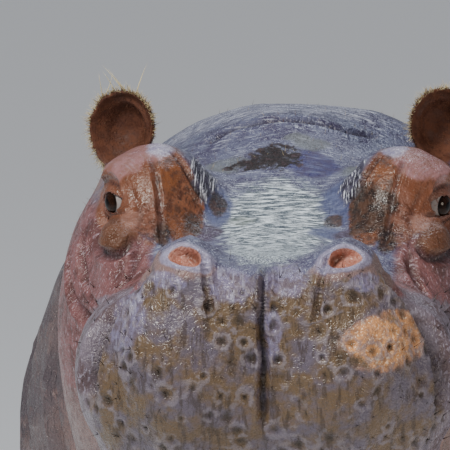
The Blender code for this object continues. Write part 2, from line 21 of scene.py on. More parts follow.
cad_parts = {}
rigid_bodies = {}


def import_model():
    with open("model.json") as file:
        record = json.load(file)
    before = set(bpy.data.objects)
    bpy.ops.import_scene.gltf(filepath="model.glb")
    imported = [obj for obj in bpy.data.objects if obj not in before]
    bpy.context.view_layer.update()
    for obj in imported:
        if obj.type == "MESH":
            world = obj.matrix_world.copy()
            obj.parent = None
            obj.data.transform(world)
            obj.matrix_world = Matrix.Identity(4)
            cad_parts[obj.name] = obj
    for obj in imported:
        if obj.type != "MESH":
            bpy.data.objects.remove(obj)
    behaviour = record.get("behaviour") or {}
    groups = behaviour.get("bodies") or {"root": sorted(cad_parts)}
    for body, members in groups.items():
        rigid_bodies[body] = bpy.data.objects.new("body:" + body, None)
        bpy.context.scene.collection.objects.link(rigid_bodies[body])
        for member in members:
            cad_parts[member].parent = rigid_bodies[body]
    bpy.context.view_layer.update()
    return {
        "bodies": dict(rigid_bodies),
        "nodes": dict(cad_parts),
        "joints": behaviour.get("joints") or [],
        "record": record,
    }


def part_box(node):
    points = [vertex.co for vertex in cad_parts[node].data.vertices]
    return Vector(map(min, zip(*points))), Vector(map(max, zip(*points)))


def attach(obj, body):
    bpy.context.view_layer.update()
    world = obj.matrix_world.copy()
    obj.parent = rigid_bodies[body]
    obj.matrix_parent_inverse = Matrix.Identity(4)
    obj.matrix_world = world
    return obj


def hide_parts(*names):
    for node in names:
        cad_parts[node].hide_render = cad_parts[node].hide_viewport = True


LOG = logging.getLogger("hippopotamus")
SEED = 7
Array = np.ndarray
Point = tuple[float, float, float]
SIDES = ((1, "left"), (-1, "right"))


class Slot(Enum):
    """The record's material slots."""

    HEAD = "head_hide"
    BODY = "body_hide"
    EAR = "ear_skin"
    EYE = "eye"


def eased(x: Array, start: float, end: float) -> Array:
    """Rises smoothly from 0 at start to 1 at end, which may lie below start."""
    t = np.clip((x - start) / (end - start), 0, 1)
    return t * t * (3 - 2 * t)


def bell(x: Array) -> Array:
    """A soft bump: 1 at nought, dying away past 1."""
    return np.exp(-x * x)


def lengths(vectors: Array) -> Array:
    """The length of each row."""
    return np.sqrt((vectors * vectors).sum(-1))


def aimed(vectors: Array) -> Array:
    """Each row at length 1."""
    return vectors / np.maximum(lengths(vectors), 1e-12)[..., None]


def placed(places: Array | tuple, side: int = 1) -> Array:
    """Places in metres on either side, from places in millimetres on the left."""
    return np.array(places) / 1000 * (side, 1, 1)


@dataclass(frozen=True)
class Frame:
    """A place and three directions that shapes are given in."""

    origin: Array
    axes: Array  # rows: sideways, forward, up

    def local(self, points: Array) -> Array:
        """Points in the model's axes, given in this frame."""
        return (points - self.origin) @ self.axes.T

    def world(self, places: Array) -> Array:
        """Places in this frame, given in the model's axes."""
        return np.asarray(places, float) @ self.axes + self.origin

    def turned(self, vectors: Array) -> Array:
        """Directions in this frame, given in the model's axes."""
        return np.asarray(vectors, float) @ self.axes


# Sideways to the animal's left, forward towards its head, up
BODY_FRAME = Frame(np.zeros(3), np.array([[1, 0, 0], [0, -1, 0], [0, 0, 1]], float))


@dataclass(frozen=True)
class Eyes:
    """Where the eyeballs are, from their nodes."""

    left: Array
    right: Array
    radius: float

    @classmethod
    def from_nodes(cls) -> "Eyes":
        """Reads the eyeballs' places from the frame.

        Returns:
            The eyes.
        """
        boxes = [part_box(f"eye_{name}") for _, name in SIDES]
        middles = [np.array((low + high) / 2) for low, high in boxes]
        low, high = boxes[0]
        return cls(*middles, (high.z - low.z) / 2)

    def head_frame(self, ahead: float = 0.008, above: float = 0.001) -> Frame:
        """The head's own frame.

        Args:
            ahead: how far its origin is in front of the middle between the eyes.
            above: how far it is above that.

        Returns:
            The frame.
        """
        sideways = aimed((self.left - self.right) * (1, 1, 0))
        up = np.array((0, 0, 1.0))
        forward = np.cross(sideways, up)
        return Frame((self.left + self.right) / 2 + forward * ahead + up * above, np.stack([sideways, forward, up]))


def read(items: bpy.types.bpy_prop_collection, name: str, width: int = 1, kind: type = np.float32) -> Array:
    """Reads one property of every item.

    Args:
        items: points, edges, corners or faces, or an attribute's values.
        name: the property.
        width: how many numbers it has.
        kind: how the numbers are kept.

    Returns:
        A row for each item, or a plain list where the width is 1.
    """
    found = np.empty(len(items) * width, kind)
    items.foreach_get(name, found)
    found = found.astype(float if kind is np.float32 else int)
    return found.reshape(-1, width) if width > 1 else found


def keep(mesh: bpy.types.Mesh, name: str, values: Array) -> None:
    """Keeps a number or a vector at each point, as an attribute.

    Args:
        mesh: the mesh.
        name: the attribute's name.
        values: one number or one row for each point.
    """
    kind, key = ("FLOAT_VECTOR", "vector") if values.ndim > 1 else ("FLOAT", "value")
    attribute = mesh.attributes.new(name, kind, "POINT")
    attribute.data.foreach_set(key, values.astype(np.float32).ravel())


def keep_map(mesh: bpy.types.Mesh, uv: Array) -> None:
    """Gives a mesh its map, from a place for each corner."""
    mesh.uv_layers.new(name="OFBake").data.foreach_set("uv", uv.astype(np.float32).ravel())


def shape_of(mesh: bpy.types.Mesh, merged: bool = False) -> bmesh.types.BMesh:
    """A loose copy of a mesh.

    Args:
        mesh: the mesh.
        merged: whether points that share a place become one.

    Returns:
        The copy, which the caller frees.
    """
    shape = bmesh.new()
    shape.from_mesh(mesh)
    if merged:
        bmesh.ops.remove_doubles(shape, verts=shape.verts, dist=1e-6)
    return shape


def mesh_of(shape: bmesh.types.BMesh, name: str) -> bpy.types.Mesh:
    """A named mesh from a shape, which is freed."""
    mesh = bpy.data.meshes.new(name)
    shape.to_mesh(mesh)
    shape.free()
    return mesh


def link(mesh: bpy.types.Mesh, name: str) -> bpy.types.Object:
    """Puts a mesh into the scene under a name.

    Args:
        mesh: the mesh.
        name: its name and the object's.

    Returns:
        The object.
    """
    mesh.name = name
    made = bpy.data.objects.new(name, mesh)
    bpy.context.scene.collection.objects.link(made)
    return made


def bake_modifiers(obj: bpy.types.Object) -> None:
    """Puts the modifiers' result in the object's own mesh.

    Args:
        obj: the object, which is left without modifiers.
    """
    graph = bpy.context.evaluated_depsgraph_get()
    mesh, old = bpy.data.meshes.new_from_object(obj.evaluated_get(graph)), obj.data
    obj.modifiers.clear()
    obj.data = mesh
    bpy.data.meshes.remove(old)


def tree_of(points: Array) -> KDTree:
    """A search tree over points.

    Args:
        points: the points.

    Returns:
        The tree, balanced.
    """
    tree = KDTree(len(points))
    for index, point in enumerate(points):
        tree.insert(point, index)
    tree.balance()
    return tree


class Surface:
    """A mesh's points as arrays, while they are moved."""

    def __init__(self, mesh: bpy.types.Mesh) -> None:
        """Reads the mesh's points and edges.

        Args:
            mesh: the mesh.
        """
        self.mesh = mesh
        self.points = read(mesh.vertices, "co", 3)
        self.edges = read(mesh.edges, "vertices", 2, np.int32)
        self.links = np.maximum(np.bincount(self.edges.ravel(), minlength=len(self.points)), 1)

    def write(self) -> None:
        """Puts the points back into the mesh."""
        self.mesh.vertices.foreach_set("co", self.points.astype(np.float32).ravel())
        self.mesh.update()

    def normals(self) -> Array:
        """The direction out of the surface at each point."""
        self.write()
        return read(self.mesh.vertices, "normal", 3)

    def mean_of_neighbours(self, values: Array) -> Array:
        """Evens values out over the surface.

        Args:
            values: one number or one row for each point.

        Returns:
            For each point, the mean over the points it is joined to.
        """
        one, two = self.edges.T
        count = len(self.points)
        columns = values.reshape(count, -1).T
        total = [np.bincount(one, c[two], count) + np.bincount(two, c[one], count) for c in columns]
        return (np.array(total) / self.links).T.reshape(values.shape)

    def smooth(self, share: Array, repeats: int) -> None:
        """Evens out the points.

        Args:
            share: how far each point moves each time, from 0 to 1.
            repeats: how many times.
        """
        share = np.asarray(share, float).reshape(-1, 1)
        for _ in range(repeats):
            self.points += share * (self.mean_of_neighbours(self.points) - self.points)


# ---------------------------------------------------------------------------------------------
# Forms that the skin adds to the solids. The tables give millimetres, as (outward, ahead, up):
# on the head from the point between the eyes, and on the body from the middle of the floor.


@dataclass(frozen=True)
class Blob:
    """A soft round place, given for the left."""

    place: Point
    radii: Point

    def away(self, places: Array, side: int = 1) -> Array:
        """How far out each place is, in radii."""
        return lengths((places - placed(self.place, side)) / placed(self.radii))


@dataclass(frozen=True)
class Swell(Blob):
    """A soft rise on both sides or, with a negative amount, a hollow."""

    amount: float

    def add_to(self, surface: Surface, frame: Frame) -> None:
        """Moves the points near the place along the surface's normal.

        Args:
            surface: the skin.
            frame: what the place is given in.
        """
        places, normals = frame.local(surface.points), surface.normals()
        for side, _ in SIDES:
            surface.points += normals * (self.amount / 1000 * bell(self.away(places, side)))[:, None]


@dataclass(frozen=True)
class Fold:
    """A crease along a path, with a soft lip on either side. Given for the left."""

    path: tuple[Point, ...]
    width: float
    depth: float
    lip: float  # the lips' height, as a share of the depth
    shade: float
    paired: bool = True
    step: float = 0.004  # between the points of its route
    evened: int = 8  # times that the route is smoothed
    run_out: float = 0.15  # share of the length in which each end fades
    lip_at: float = 1.9  # in widths from the crease
    lip_width: float = 0.9
    shade_width: float = 0.8

    def routes(self, frame: Frame, tree: KDTree) -> list[Array]:
        """The path of each side, drawn smoothly through its points and laid on the surface.

        Args:
            frame: what the path is given in.
            tree: the surface's points.

        Returns:
            The points of each route.
        """
        found = []
        for side in (1, -1) if self.paired else (1,):
            knots = placed(self.path, side)
            laid = []
            padded = np.vstack([2 * knots[0] - knots[1], knots, 2 * knots[-1] - knots[-2]])
            for a, b, c, d in zip(padded, padded[1:], padded[2:], padded[3:]):
                count = max(2, int(lengths(c - b) / self.step))
                for t in np.linspace(0, 1, count, endpoint=False):
                    bent = 2 * b + (c - a) * t + (2 * a - 5 * b + 4 * c - d) * t**2 + (3 * b - a - 3 * c + d) * t**3
                    laid.append(bent / 2)
            laid.append(knots[-1])
            spots = np.array([tree.find(frame.world(place))[0] for place in laid])
            for _ in range(self.evened):
                spots[1:-1] = (spots[:-2] + 2 * spots[1:-1] + spots[2:]) / 4
            found.append(spots)
        return found

    def add_to(self, surface: Surface, frame: Frame, tree: KDTree, crease: Array) -> None:
        """Presses the crease in, raises its lips and adds its shade.

        Args:
            surface: the skin.
            frame: what the path is given in.
            tree: the skin's points.
            crease: the shade at each point, which is added to.
        """
        normals = surface.normals()
        width, depth = self.width / 1000, self.depth / 1000
        for route in self.routes(frame, tree):
            near = (surface.points > route.min(0) - 4 * width) & (surface.points < route.max(0) + 4 * width)
            index = np.flatnonzero(near.all(1))
            away = lengths(surface.points[index][:, None] - route[None])
            distance = away.min(1) / width
            along = away.argmin(1) / (len(route) - 1)
            ends = eased(along, 0, self.run_out) * eased(along, 1, 1 - self.run_out)
            profile = -bell(distance) + self.lip * bell((distance - self.lip_at) / self.lip_width)
            surface.points[index] += normals[index] * (depth * ends * profile)[:, None]
            crease[index] = np.maximum(crease[index], self.shade * ends * bell(distance / self.shade_width))


@dataclass(frozen=True)
class Mouth:
    """The closed mouth: one line round the muzzle, with the upper lips hanging over the lower."""

    line: tuple[tuple[float, float], ...] = (
        (0.440, -0.214), (0.385, -0.214), (0.330, -0.232), (0.270, -0.253), (0.200, -0.253), (0.130, -0.226),
        (0.085, -0.200), (0.060, -0.170), (0.048, -0.142),
    )  # (ahead, up) from the point between the eyes
    width: float = 0.0060
    depth: float = 0.0150
    fades: float = 0.07  # length of the end that runs out on the cheek
    upper_lip: Point = (0.40, 0.020, 0.013)  # height as a share of the depth, distance from the line, width
    lower_lip: Point = (0.20, -0.016, 0.010)

    def place(self, places: Array) -> tuple[Array, Array]:
        """Where places are against the line.

        Args:
            places: the places, in the head's frame.

        Returns:
            How far above the line each place is, and how much of the line's depth is left there.
        """
        above, left = np.full(len(places), 1.0), np.zeros(len(places))
        total = 0.0
        for start, end in zip(self.line[::-1], self.line[-2::-1]):
            step = np.subtract(end, start)
            long = float(np.hypot(*step))
            offset = places[:, 1:] - start
            along = np.clip(offset @ step / long**2, 0, 1)
            away = lengths(offset - along[:, None] * step)
            side = np.where(step[0] * offset[:, 1] - step[1] * offset[:, 0] > 0, 1, -1)
            nearer = away < np.abs(above)
            above = np.where(nearer, side * away, above)
            left = np.where(nearer, eased(total + along * long, 0, self.fades), left)
            total += long
        return above, left * eased(places[:, 1], 0.0, 0.05)

    def near(self, places: Array) -> Array:
        """Which places, in the head's frame, are along the lips."""
        above, left = self.place(places)
        return (np.abs(above) < 0.011) & (left > 0.01)

    def add_to(self, surface: Surface, frame: Frame, crease: Array) -> None:
        """Presses the line in and rolls the lips.

        Args:
            surface: the skin.
            frame: the head's frame.
            crease: the shade at each point, which is added to.
        """
        places, normals = frame.local(surface.points), surface.normals()
        above, left = self.place(places)
        lips = (self.upper_lip, self.lower_lip)
        roll = sum(height * bell((above - middle) / width) for height, middle, width in lips)
        surface.points += normals * (self.depth * left * (roll - bell(above / self.width)))[:, None]
        np.maximum(crease, left * bell(above / (0.8 * self.width)), out=crease)


HEAD_SWELLS = (
    Swell((126, 104, -12), (40, 36, 34), -13),  # dip before the eye mound
    Swell((176, 72, -20), (20, 28, 14), 12),  # bag under the eye
    Swell((196, -20, 32), (22, 34, 14), 9.5),  # brow
    Swell((206, -30, -4), (18, 30, 12), -6),  # socket
    Swell((105, 360, -70), (60, 30, 75), 6),  # front pad
    Swell((30, 375, -60), (22, 30, 70), 3),
)
# Edge of the front pad, from the nostril down to the lip
PAD_FOLD = Fold(
    ((116, 312, 4), (127, 316, -14), (148, 308, -34), (165, 300, -58), (172, 298, -100), (166, 302, -155)),
    13, 16, 0.30, 0.8,
)
HEAD_FOLDS = (
    # groove down the middle of the muzzle
    Fold(((0, 330, 8), (1, 372, -12), (-2, 384, -45), (1, 384, -80), (-1, 384, -120), (0, 372, -165)),
         4.2, 8, 0.5, 0.36, paired=False),
    # runnels down from the inner rims of the nostrils
    Fold(((70, 338, 22), (66, 355, 1), (58, 372, -24), (55, 378, -48)), 3.4, 3, 0.9, 0.28),
    # creases down the front of the eye mound
    Fold(((141, -1, 55), (133, 31, 37), (127, 52, 14), (122, 84, -5), (117, 115, -18)), 2.8, 3.4, 0.4, 0.8),
    Fold(((116, -14, 54), (105, 6, 44), (90, 19, 21), (73, 13, 1)), 3.8, 5.5, 0.4, 1.0),
    Fold(((160, 30, 24), (150, 60, 4), (146, 86, -7)), 3, 1.8, 0.4, 0.4),
    # folds round the eye
    Fold(((200, -40, 8), (190, -10, 21), (176, 14, 19), (164, 34, 7)), 3, 3.8, 0.5, 0.9),
    Fold(((198, -20, -17), (188, 16, -19), (172, 40, -13), (158, 54, -4)), 3, 5.2, 0.6, 1.0),
    Fold(((206, 10, -36), (194, 60, -40), (178, 108, -36), (162, 114, -26), (151, 92, -12)), 5, 7.2, 0.4, 1.0),
    # cheek
    Fold(((150, 85, -12), (148, 118, -26), (160, 150, -52), (178, 160, -80)), 5, 4.5, 0.4, 0.6),
    Fold(((217, -30, -30), (214, 10, -70), (200, 90, -94), (176, 170, -98)), 6.5, 6.5, 0.4, 0.6),
    Fold(((232, -60, -60), (226, 10, -108), (214, 90, -124)), 6.5, 6, 0.4, 0.5),
)
# The crease of the crown, before the nape
CROWN_FOLD = Fold(
    ((-100, -170, 40), (-66, -195, 45), (-27, -200, 46), (11, -200, 47), (30, -205, 48), (67, -205, 44),
     (90, -215, 38), (116, -235, 25)), 5.6, 5.5, 0.6, 1.0, paired=False,
)
NECK_FOLDS = (
    Fold(((225, -200, -20), (250, -225, -120), (250, -220, -220), (225, -180, -340), (150, -150, -430)),
         13, 13, 0.5, 0.2),
    Fold(((270, -330, -110), (290, -330, -220), (280, -290, -340), (210, -240, -470)), 13, 11, 0.5, 0.2),
    Fold(((300, -450, -200), (320, -440, -320), (300, -390, -450)), 15, 9, 0.5, 0.25),
)
BODY_FOLDS = (
    Fold(((340, 125, 450), (400, 105, 540), (450, 70, 650), (470, 60, 760)), 17, 13, 0.5, 0.35),
    Fold(((330, 460, 560), (370, 440, 640), (400, 420, 740)), 16, 10, 0.5, 0.3),
    Fold(((320, -790, 410), (420, -800, 500), (490, -830, 620), (510, -880, 740)), 18, 15, 0.5, 0.35),
    Fold(((420, -700, 450), (480, -710, 530), (530, -740, 620)), 15, 8, 0.5, 0.25),
    Fold(((120, -1330, 900), (150, -1310, 780), (160, -1270, 660)), 17, 11, 0.5, 0.3),
)


@dataclass(frozen=True)
class Lids:
    """The lids of one eye: a rounded rim over the ball, open as an almond."""

    side: int
    middle: Array
    ball: float
    head: Frame
    outward: float = math.radians(54)  # where the opening faces, round from straight ahead
    half_width: float = 0.0205
    upper: float = 0.0120
    lower: float = 0.0108
    roundness: float = 1.7  # 1 is a diamond and 2 an oval
    nearer_nose: float = 0.0030
    thickness: float = 0.0022
    falling: float = 0.42  # how fast the lids fall away from the middle
    rolled: float = 0.0015  # how far their edge turns in
    roll: float = 0.0012  # width of that turn
    edge: float = 0.0022  # width of the edge's own colour
    snap: float = 0.0009  # points nearer to the edge than this are moved onto it
    behind: float = 0.0060  # how far the skin goes back inside the opening
    reach: float = 0.040

    def frame(self) -> Frame:
        """Towards the nose, up, and out of the eye."""
        cos, sin = math.cos(self.outward), math.sin(self.outward)
        aim = self.head.turned((self.side * sin, cos, 0.0))
        nose = self.head.turned((-self.side * cos, sin, 0.0))
        return Frame(self.middle, np.stack([nose, np.array((0, 0, 1.0)), aim]))

    def shape(self, surface: Surface) -> Array:
        """Moves the skin round the eye into lids.

        Args:
            surface: the skin.

        Returns:
            How near each point is to their edge.
        """
        frame, ball = self.frame(), self.ball
        places = frame.local(surface.points)
        index = np.flatnonzero((lengths(places[:, :2]) < self.reach) & (places[:, 2] > -0.3 * ball))
        x, y, z = places[index].T
        x = x - self.nearer_nose
        height = np.where(y > 0, self.upper, self.lower)
        share = np.abs(x / self.half_width) ** self.roundness + np.abs(y / height) ** self.roundness
        reach = np.maximum(share, 1e-9) ** (-1 / self.roundness)
        away = np.hypot(x, y) * (1 - reach)  # beyond the almond's edge, in metres
        snapped = np.abs(away) < self.snap
        x, y = np.where(snapped, x * reach, x), np.where(snapped, y * reach, y)
        outside = away > -self.snap
        x = x + self.nearer_nose
        across = np.hypot(x, y)
        over = ball + self.thickness - self.falling * across**2 / ball
        blend = eased(across, 1.75 * ball, 0.95 * ball)
        lid = z + blend * (over - self.rolled * bell(away / self.roll) - z)
        within = np.minimum(np.sqrt(np.maximum(ball**2 - across**2, 0)), over) - self.behind
        z = np.where(outside, lid, np.maximum(within, 0.2 * ball))
        surface.points[index] = frame.world(np.stack([x, y, z], 1))
        edge = np.zeros(len(surface.points))
        edge[index] = np.where(outside, bell(away / self.edge), 1.0)
        return edge


@dataclass(frozen=True)
class Nostrils:
    """Both nostrils, sunk under a hood and with raised rims."""

    place: Point = (85.5, 352, 19)
    aim: Point = (0.17, 0.72, 0.67)
    tilt: float = math.radians(14)
    half: tuple[float, float] = (0.0200, 0.0150)  # of the width, and of the height above the middle
    squashed: float = 0.62  # how much flatter it is below the middle
    depth: float = 0.012
    rim: float = 0.0032

    def frame(self, head: Frame, side: int) -> Frame:
        """Outward, up and out of one nostril.

        Args:
            head: the head's frame.
            side: 1 for the left and -1 for the right.

        Returns:
            The nostril's frame.
        """
        aim = np.array(self.aim) * (side, 1, 1)
        aim = aim / lengths(aim)
        across = aimed(np.cross(aim, (0, 0, 1.0)))
        rise = np.cross(aim, across) * -1
        cos, sin = math.cos(self.tilt * side), math.sin(self.tilt * side)
        axes = [head.turned(v) for v in (across * cos + rise * sin, -across * sin + rise * cos, aim)]
        return Frame(head.world(placed(self.place, side)), np.stack(axes))

    def open(self, surface: Surface, head: Frame) -> dict[str, Array]:
        """Sinks the nostrils and raises their rims.

        Args:
            surface: the skin.
            head: the head's frame.

        Returns:
            How much each point is inside a nostril, how much in the painted shade deep in its upper part, and how
            much it is on a rim.
        """
        inside, throat, rim = np.zeros((3, len(surface.points)))
        for side, _ in SIDES:
            frame = self.frame(head, side)
            places = frame.local(surface.points)
            near = (np.abs(places[:, 2]) < 0.03) & (lengths(places[:, :2]) < 0.05)
            index = np.flatnonzero(near)
            x, y = places[index, 0] / self.half[0], places[index, 1] / self.half[1]
            across = np.hypot(x, np.where(y < 0, y / self.squashed, y))
            high = np.clip(0.5 + 0.5 * y - 0.25 * side * x, 0, 1)
            sunk = eased(across, 1.02, 0.50) * (0.45 + 0.75 * high)
            raised = bell((across - 1.28) / 0.30) * (0.7 + 0.6 * high)
            surface.points[index] += (raised * self.rim - sunk * self.depth)[:, None] * frame.axes[2]
            inside[index] = np.maximum(inside[index], eased(across, 1.06, 0.90))
            # painted shade deep in the upper part of each nostril, under its hood
            throat[index] = np.maximum(throat[index], eased(across, 0.95, 0.6) * eased(high, 0.45, 0.95))
            rim[index] = np.maximum(rim[index], bell((across - 1.30) / 0.42))
        return {"nostril": inside, "throat": throat, "rim": rim}


@dataclass(frozen=True)
class Pits:
    """The bristle pits of the muzzle, scattered unevenly and each of its own size."""

    spacing: float = 0.0195
    size: float = 0.0070
    depth: float = 0.0028
    grain: float = 420.0  # fineness of the unevenness of their edges

    def scattered(self, surface: Surface, head: Frame, rng: np.random.Generator) -> Array:
        """Chooses their middles over the front of the muzzle.

        Args:
            surface: the skin.
            head: the head's frame.
            rng: where the random numbers come from.

        Returns:
            The middles.
        """
        sideways, ahead, up = head.local(surface.points).T
        front = (ahead > 0.30) & (up < -0.008) & (up > -0.19) & (np.abs(sideways) > 0.008)
        chosen = np.empty((0, 3))
        for index in rng.permutation(np.flatnonzero(front)):
            room = self.spacing * (0.80 + 0.85 * rng.random() ** 1.5)
            if not len(chosen) or lengths(chosen - surface.points[index]).min() > room:
                chosen = np.vstack([chosen, surface.points[index]])
        return chosen

    def press(self, surface: Surface, head: Frame) -> tuple[dict[str, Array], Array]:
        """Presses the pits in.

        Args:
            surface: the skin.
            head: the head's frame.

        Returns:
            How much each point is in a pit and on a pit's rim, and the pits' middles.
        """
        rng = np.random.default_rng(SEED)
        normals = surface.normals()
        chosen = self.scattered(surface, head, rng)
        _, ahead, up = head.local(surface.points).T
        index = np.flatnonzero((ahead > 0.28) & (up < 0.01) & (up > -0.21))
        tree = tree_of(chosen)
        found = [tree.find(point) for point in surface.points[index]]
        away, which = np.array([spot[2] for spot in found]), [spot[1] for spot in found]
        sizes = self.size * rng.uniform(0.45, 1.1, len(chosen))[which]
        grain = np.sin(surface.points[index] @ rng.normal(0, self.grain, (3, 5))).mean(1)
        away = away * (1 + 0.35 * grain)
        strength = rng.uniform(0.05, 1.0, len(chosen))[which]
        pit, halo = np.zeros((2, len(surface.points)))
        pit[index] = bell(away / sizes) * strength
        halo[index] = bell((away - 1.8 * sizes) / (0.7 * sizes)) * strength
        deep = self.depth * (1 + 0.3 * grain)
        surface.points[index] += normals[index] * (deep * (0.4 * halo[index] - pit[index]))[:, None]
        return {"pit": pit, "halo": halo}, chosen


@dataclass(frozen=True)
class Patch(Blob):
    """A soft-edged marking on the head, either of the hide's own colour or of painted light or shade."""

    paired: bool = False

    def add_to(self, values: Array, places: Array) -> None:
        """Raises the values near the place, given points in the head's frame."""
        for side in (1, -1) if self.paired else (1,):
            np.maximum(values, eased(self.away(places, side), 1.55, 0.40), out=values)


PATCHES = {
    "speckled": (Patch((-6, -118, 28), (28, 30, 30)), Patch((-36, -102, 22), (26, 13, 30))),
    "violet": (Patch((36, -108, 22), (32, 36, 30)),),
    "green": (Patch((-62, -105, 35), (26, 26, 30)), Patch((30, -155, 40), (26, 18, 30)),
              Patch((84, -85, 35), (24, 30, 30)), Patch((-36, 40, 0), (18, 18, 30))),
    # blue: dark blue strokes at the foot of the eye mounds, partly the hide's colour and partly painted shade
    "blue": (Patch((-64, 20, 5), (16, 50, 30)), Patch((70, 8, 10), (26, 60, 30)), Patch((60, 75, -4), (28, 22, 30))),
    # streaked: dark skin with pale streaks painted as highlights
    "streaked": (Patch((82, -20, 24), (16, 46, 34), True),),
    # glow: a painted pool of light on the lower muzzle
    "glow": (Patch((124, 356, -66), (50, 60, 28)),),
    "lavender": (Patch((-36, 362, -10), (22, 34, 20)), Patch((24, 356, -6), (22, 34, 20)),
                 Patch((10, 372, -52), (10, 34, 30)), Patch((-146, 335, -46), (26, 56, 36)),
                 Patch((102, 352, -4), (20, 30, 9), True)),
    # nape: painted sky reflection, lavender with pale streaks, on the wet crown and nape
    "nape": (Patch((-20, -300, 30), (130, 75, 80)),),
    # dish: painted sky reflection on the wet forehead
    "dish": (Patch((0, 60, 0), (62, 130, 50)), Patch((0, 200, 0), (52, 140, 50))),
    "brow_top": (Patch((164, -10, 52), (40, 48, 26), True),),
    # sheen: a painted highlight, bluish white, on the top of each eye mound
    "sheen": (Patch((128, -16, 64), (18, 26, 18), True),),
    "orange": (Patch((118, 20, 34), (13, 30, 30), True), Patch((104, 70, -2), (16, 24, 24), True)),
    # dark: partly the hide's dark blotches, partly painted shade in the notches between the eye mounds and the dish
    "dark": (Patch((90, 62, 0), (14, 22, 24), True), Patch((122, 96, -12), (12, 24, 20), True),
             Patch((100, 52, 4), (22, 40, 30)), Patch((-65, 8, 0), (9, 28, 24)),
             Patch((62, 40, -11), (10, 18, 24)), Patch((120, 50, 14), (14, 18, 13))),
    "plum": (Patch((-75, 76, -16), (22, 24, 24)), Patch((80, 78, -16), (18, 22, 24))),
    "bag": (Patch((174, 76, -20), (24, 40, 18), True),),
    # ledge: pale pink line under the lower lid, partly the skin's colour and partly a painted highlight
    "ledge": (Patch((158, 64, -5), (12, 34, 8), True),),
    "mottled": (Patch((134, 76, -2), (24, 40, 30), True),),
}
EYE_MOUND = Blob((150, 0, 10), (62, 95, 60))
INNER_STRIP = Blob((100, 50, 5), (24, 85, 45))


class Measure(Enum):
    """What the bounds of a zone are measured along, in metres or as a share."""

    AHEAD = "in front of the eyes"
    OUTWARD = "out from the middle of the head"
    UP = "above the eyes"
    HEIGHT = "above the floor"
    BEHIND = "behind the middle of the model"
    FACING = "how much the skin faces up"
    INWARD = "how much the skin faces the other side"
    BELOW_EYE = "above the line from the eye to the lip"
    LIP = "above the line between the lips"


AHEAD, OUTWARD, UP, HEIGHT, BEHIND, FACING, INWARD, BELOW_EYE, LIP = Measure
# Each zone lies where all its measures have passed from the first bound to the second
ZONES = {
    "shaped head": ((AHEAD, -0.34, -0.20), (UP, -0.62, -0.50)),
    "face": ((AHEAD, -0.26, -0.14), (UP, -0.36, -0.24)),
    "leg": ((HEIGHT, 0.62, 0.45),),
    "foot": ((HEIGHT, 0.20, 0.10),),
    "bend of the nape": ((AHEAD, -0.85, -0.50), (UP, -0.35, -0.15)),
    "tail": ((BEHIND, 1.26, 1.32),),
    "head": ((AHEAD, -0.46, -0.10), (UP, -0.66, -0.40)),
    "muzzle": ((AHEAD, 0.285, 0.325), (UP, 0.014, -0.010)),
    "flank": ((AHEAD, 0.0, 0.16), (BELOW_EYE, 0.010, -0.020), (OUTWARD, 0.10, 0.14), (UP, -0.30, -0.20)),
    "lower lip": ((LIP, 0.002, -0.004), (AHEAD, 0.02, 0.10)),
    "chin": ((LIP, 0.002, -0.004), (AHEAD, 0.02, 0.10), (UP, -0.46, -0.30)),
    "cheek": ((AHEAD, -0.40, -0.02), (OUTWARD, 0.115, 0.150), (UP, 0.0, -0.03), (UP, -0.30, -0.14)),
    # skin facing up, where the sky's reflection is painted as bluish colour
    "top": ((FACING, 0.25, 0.95), (HEIGHT, 0.90, 1.20)),
    "fore part": ((AHEAD, -0.60, -0.25),),
    "belly": ((HEIGHT, 0.62, 0.38), (FACING, 0.2, -0.6)),
    "inner leg": ((INWARD, 0.0, 0.8), (HEIGHT, 0.70, 0.45)),
}


def within(zone: str, measured: dict[Measure, Array]) -> Array:
    """How far each point lies in a zone, from its measures."""
    return reduce(np.multiply, (eased(measured[measure], start, end) for measure, start, end in ZONES[zone]))


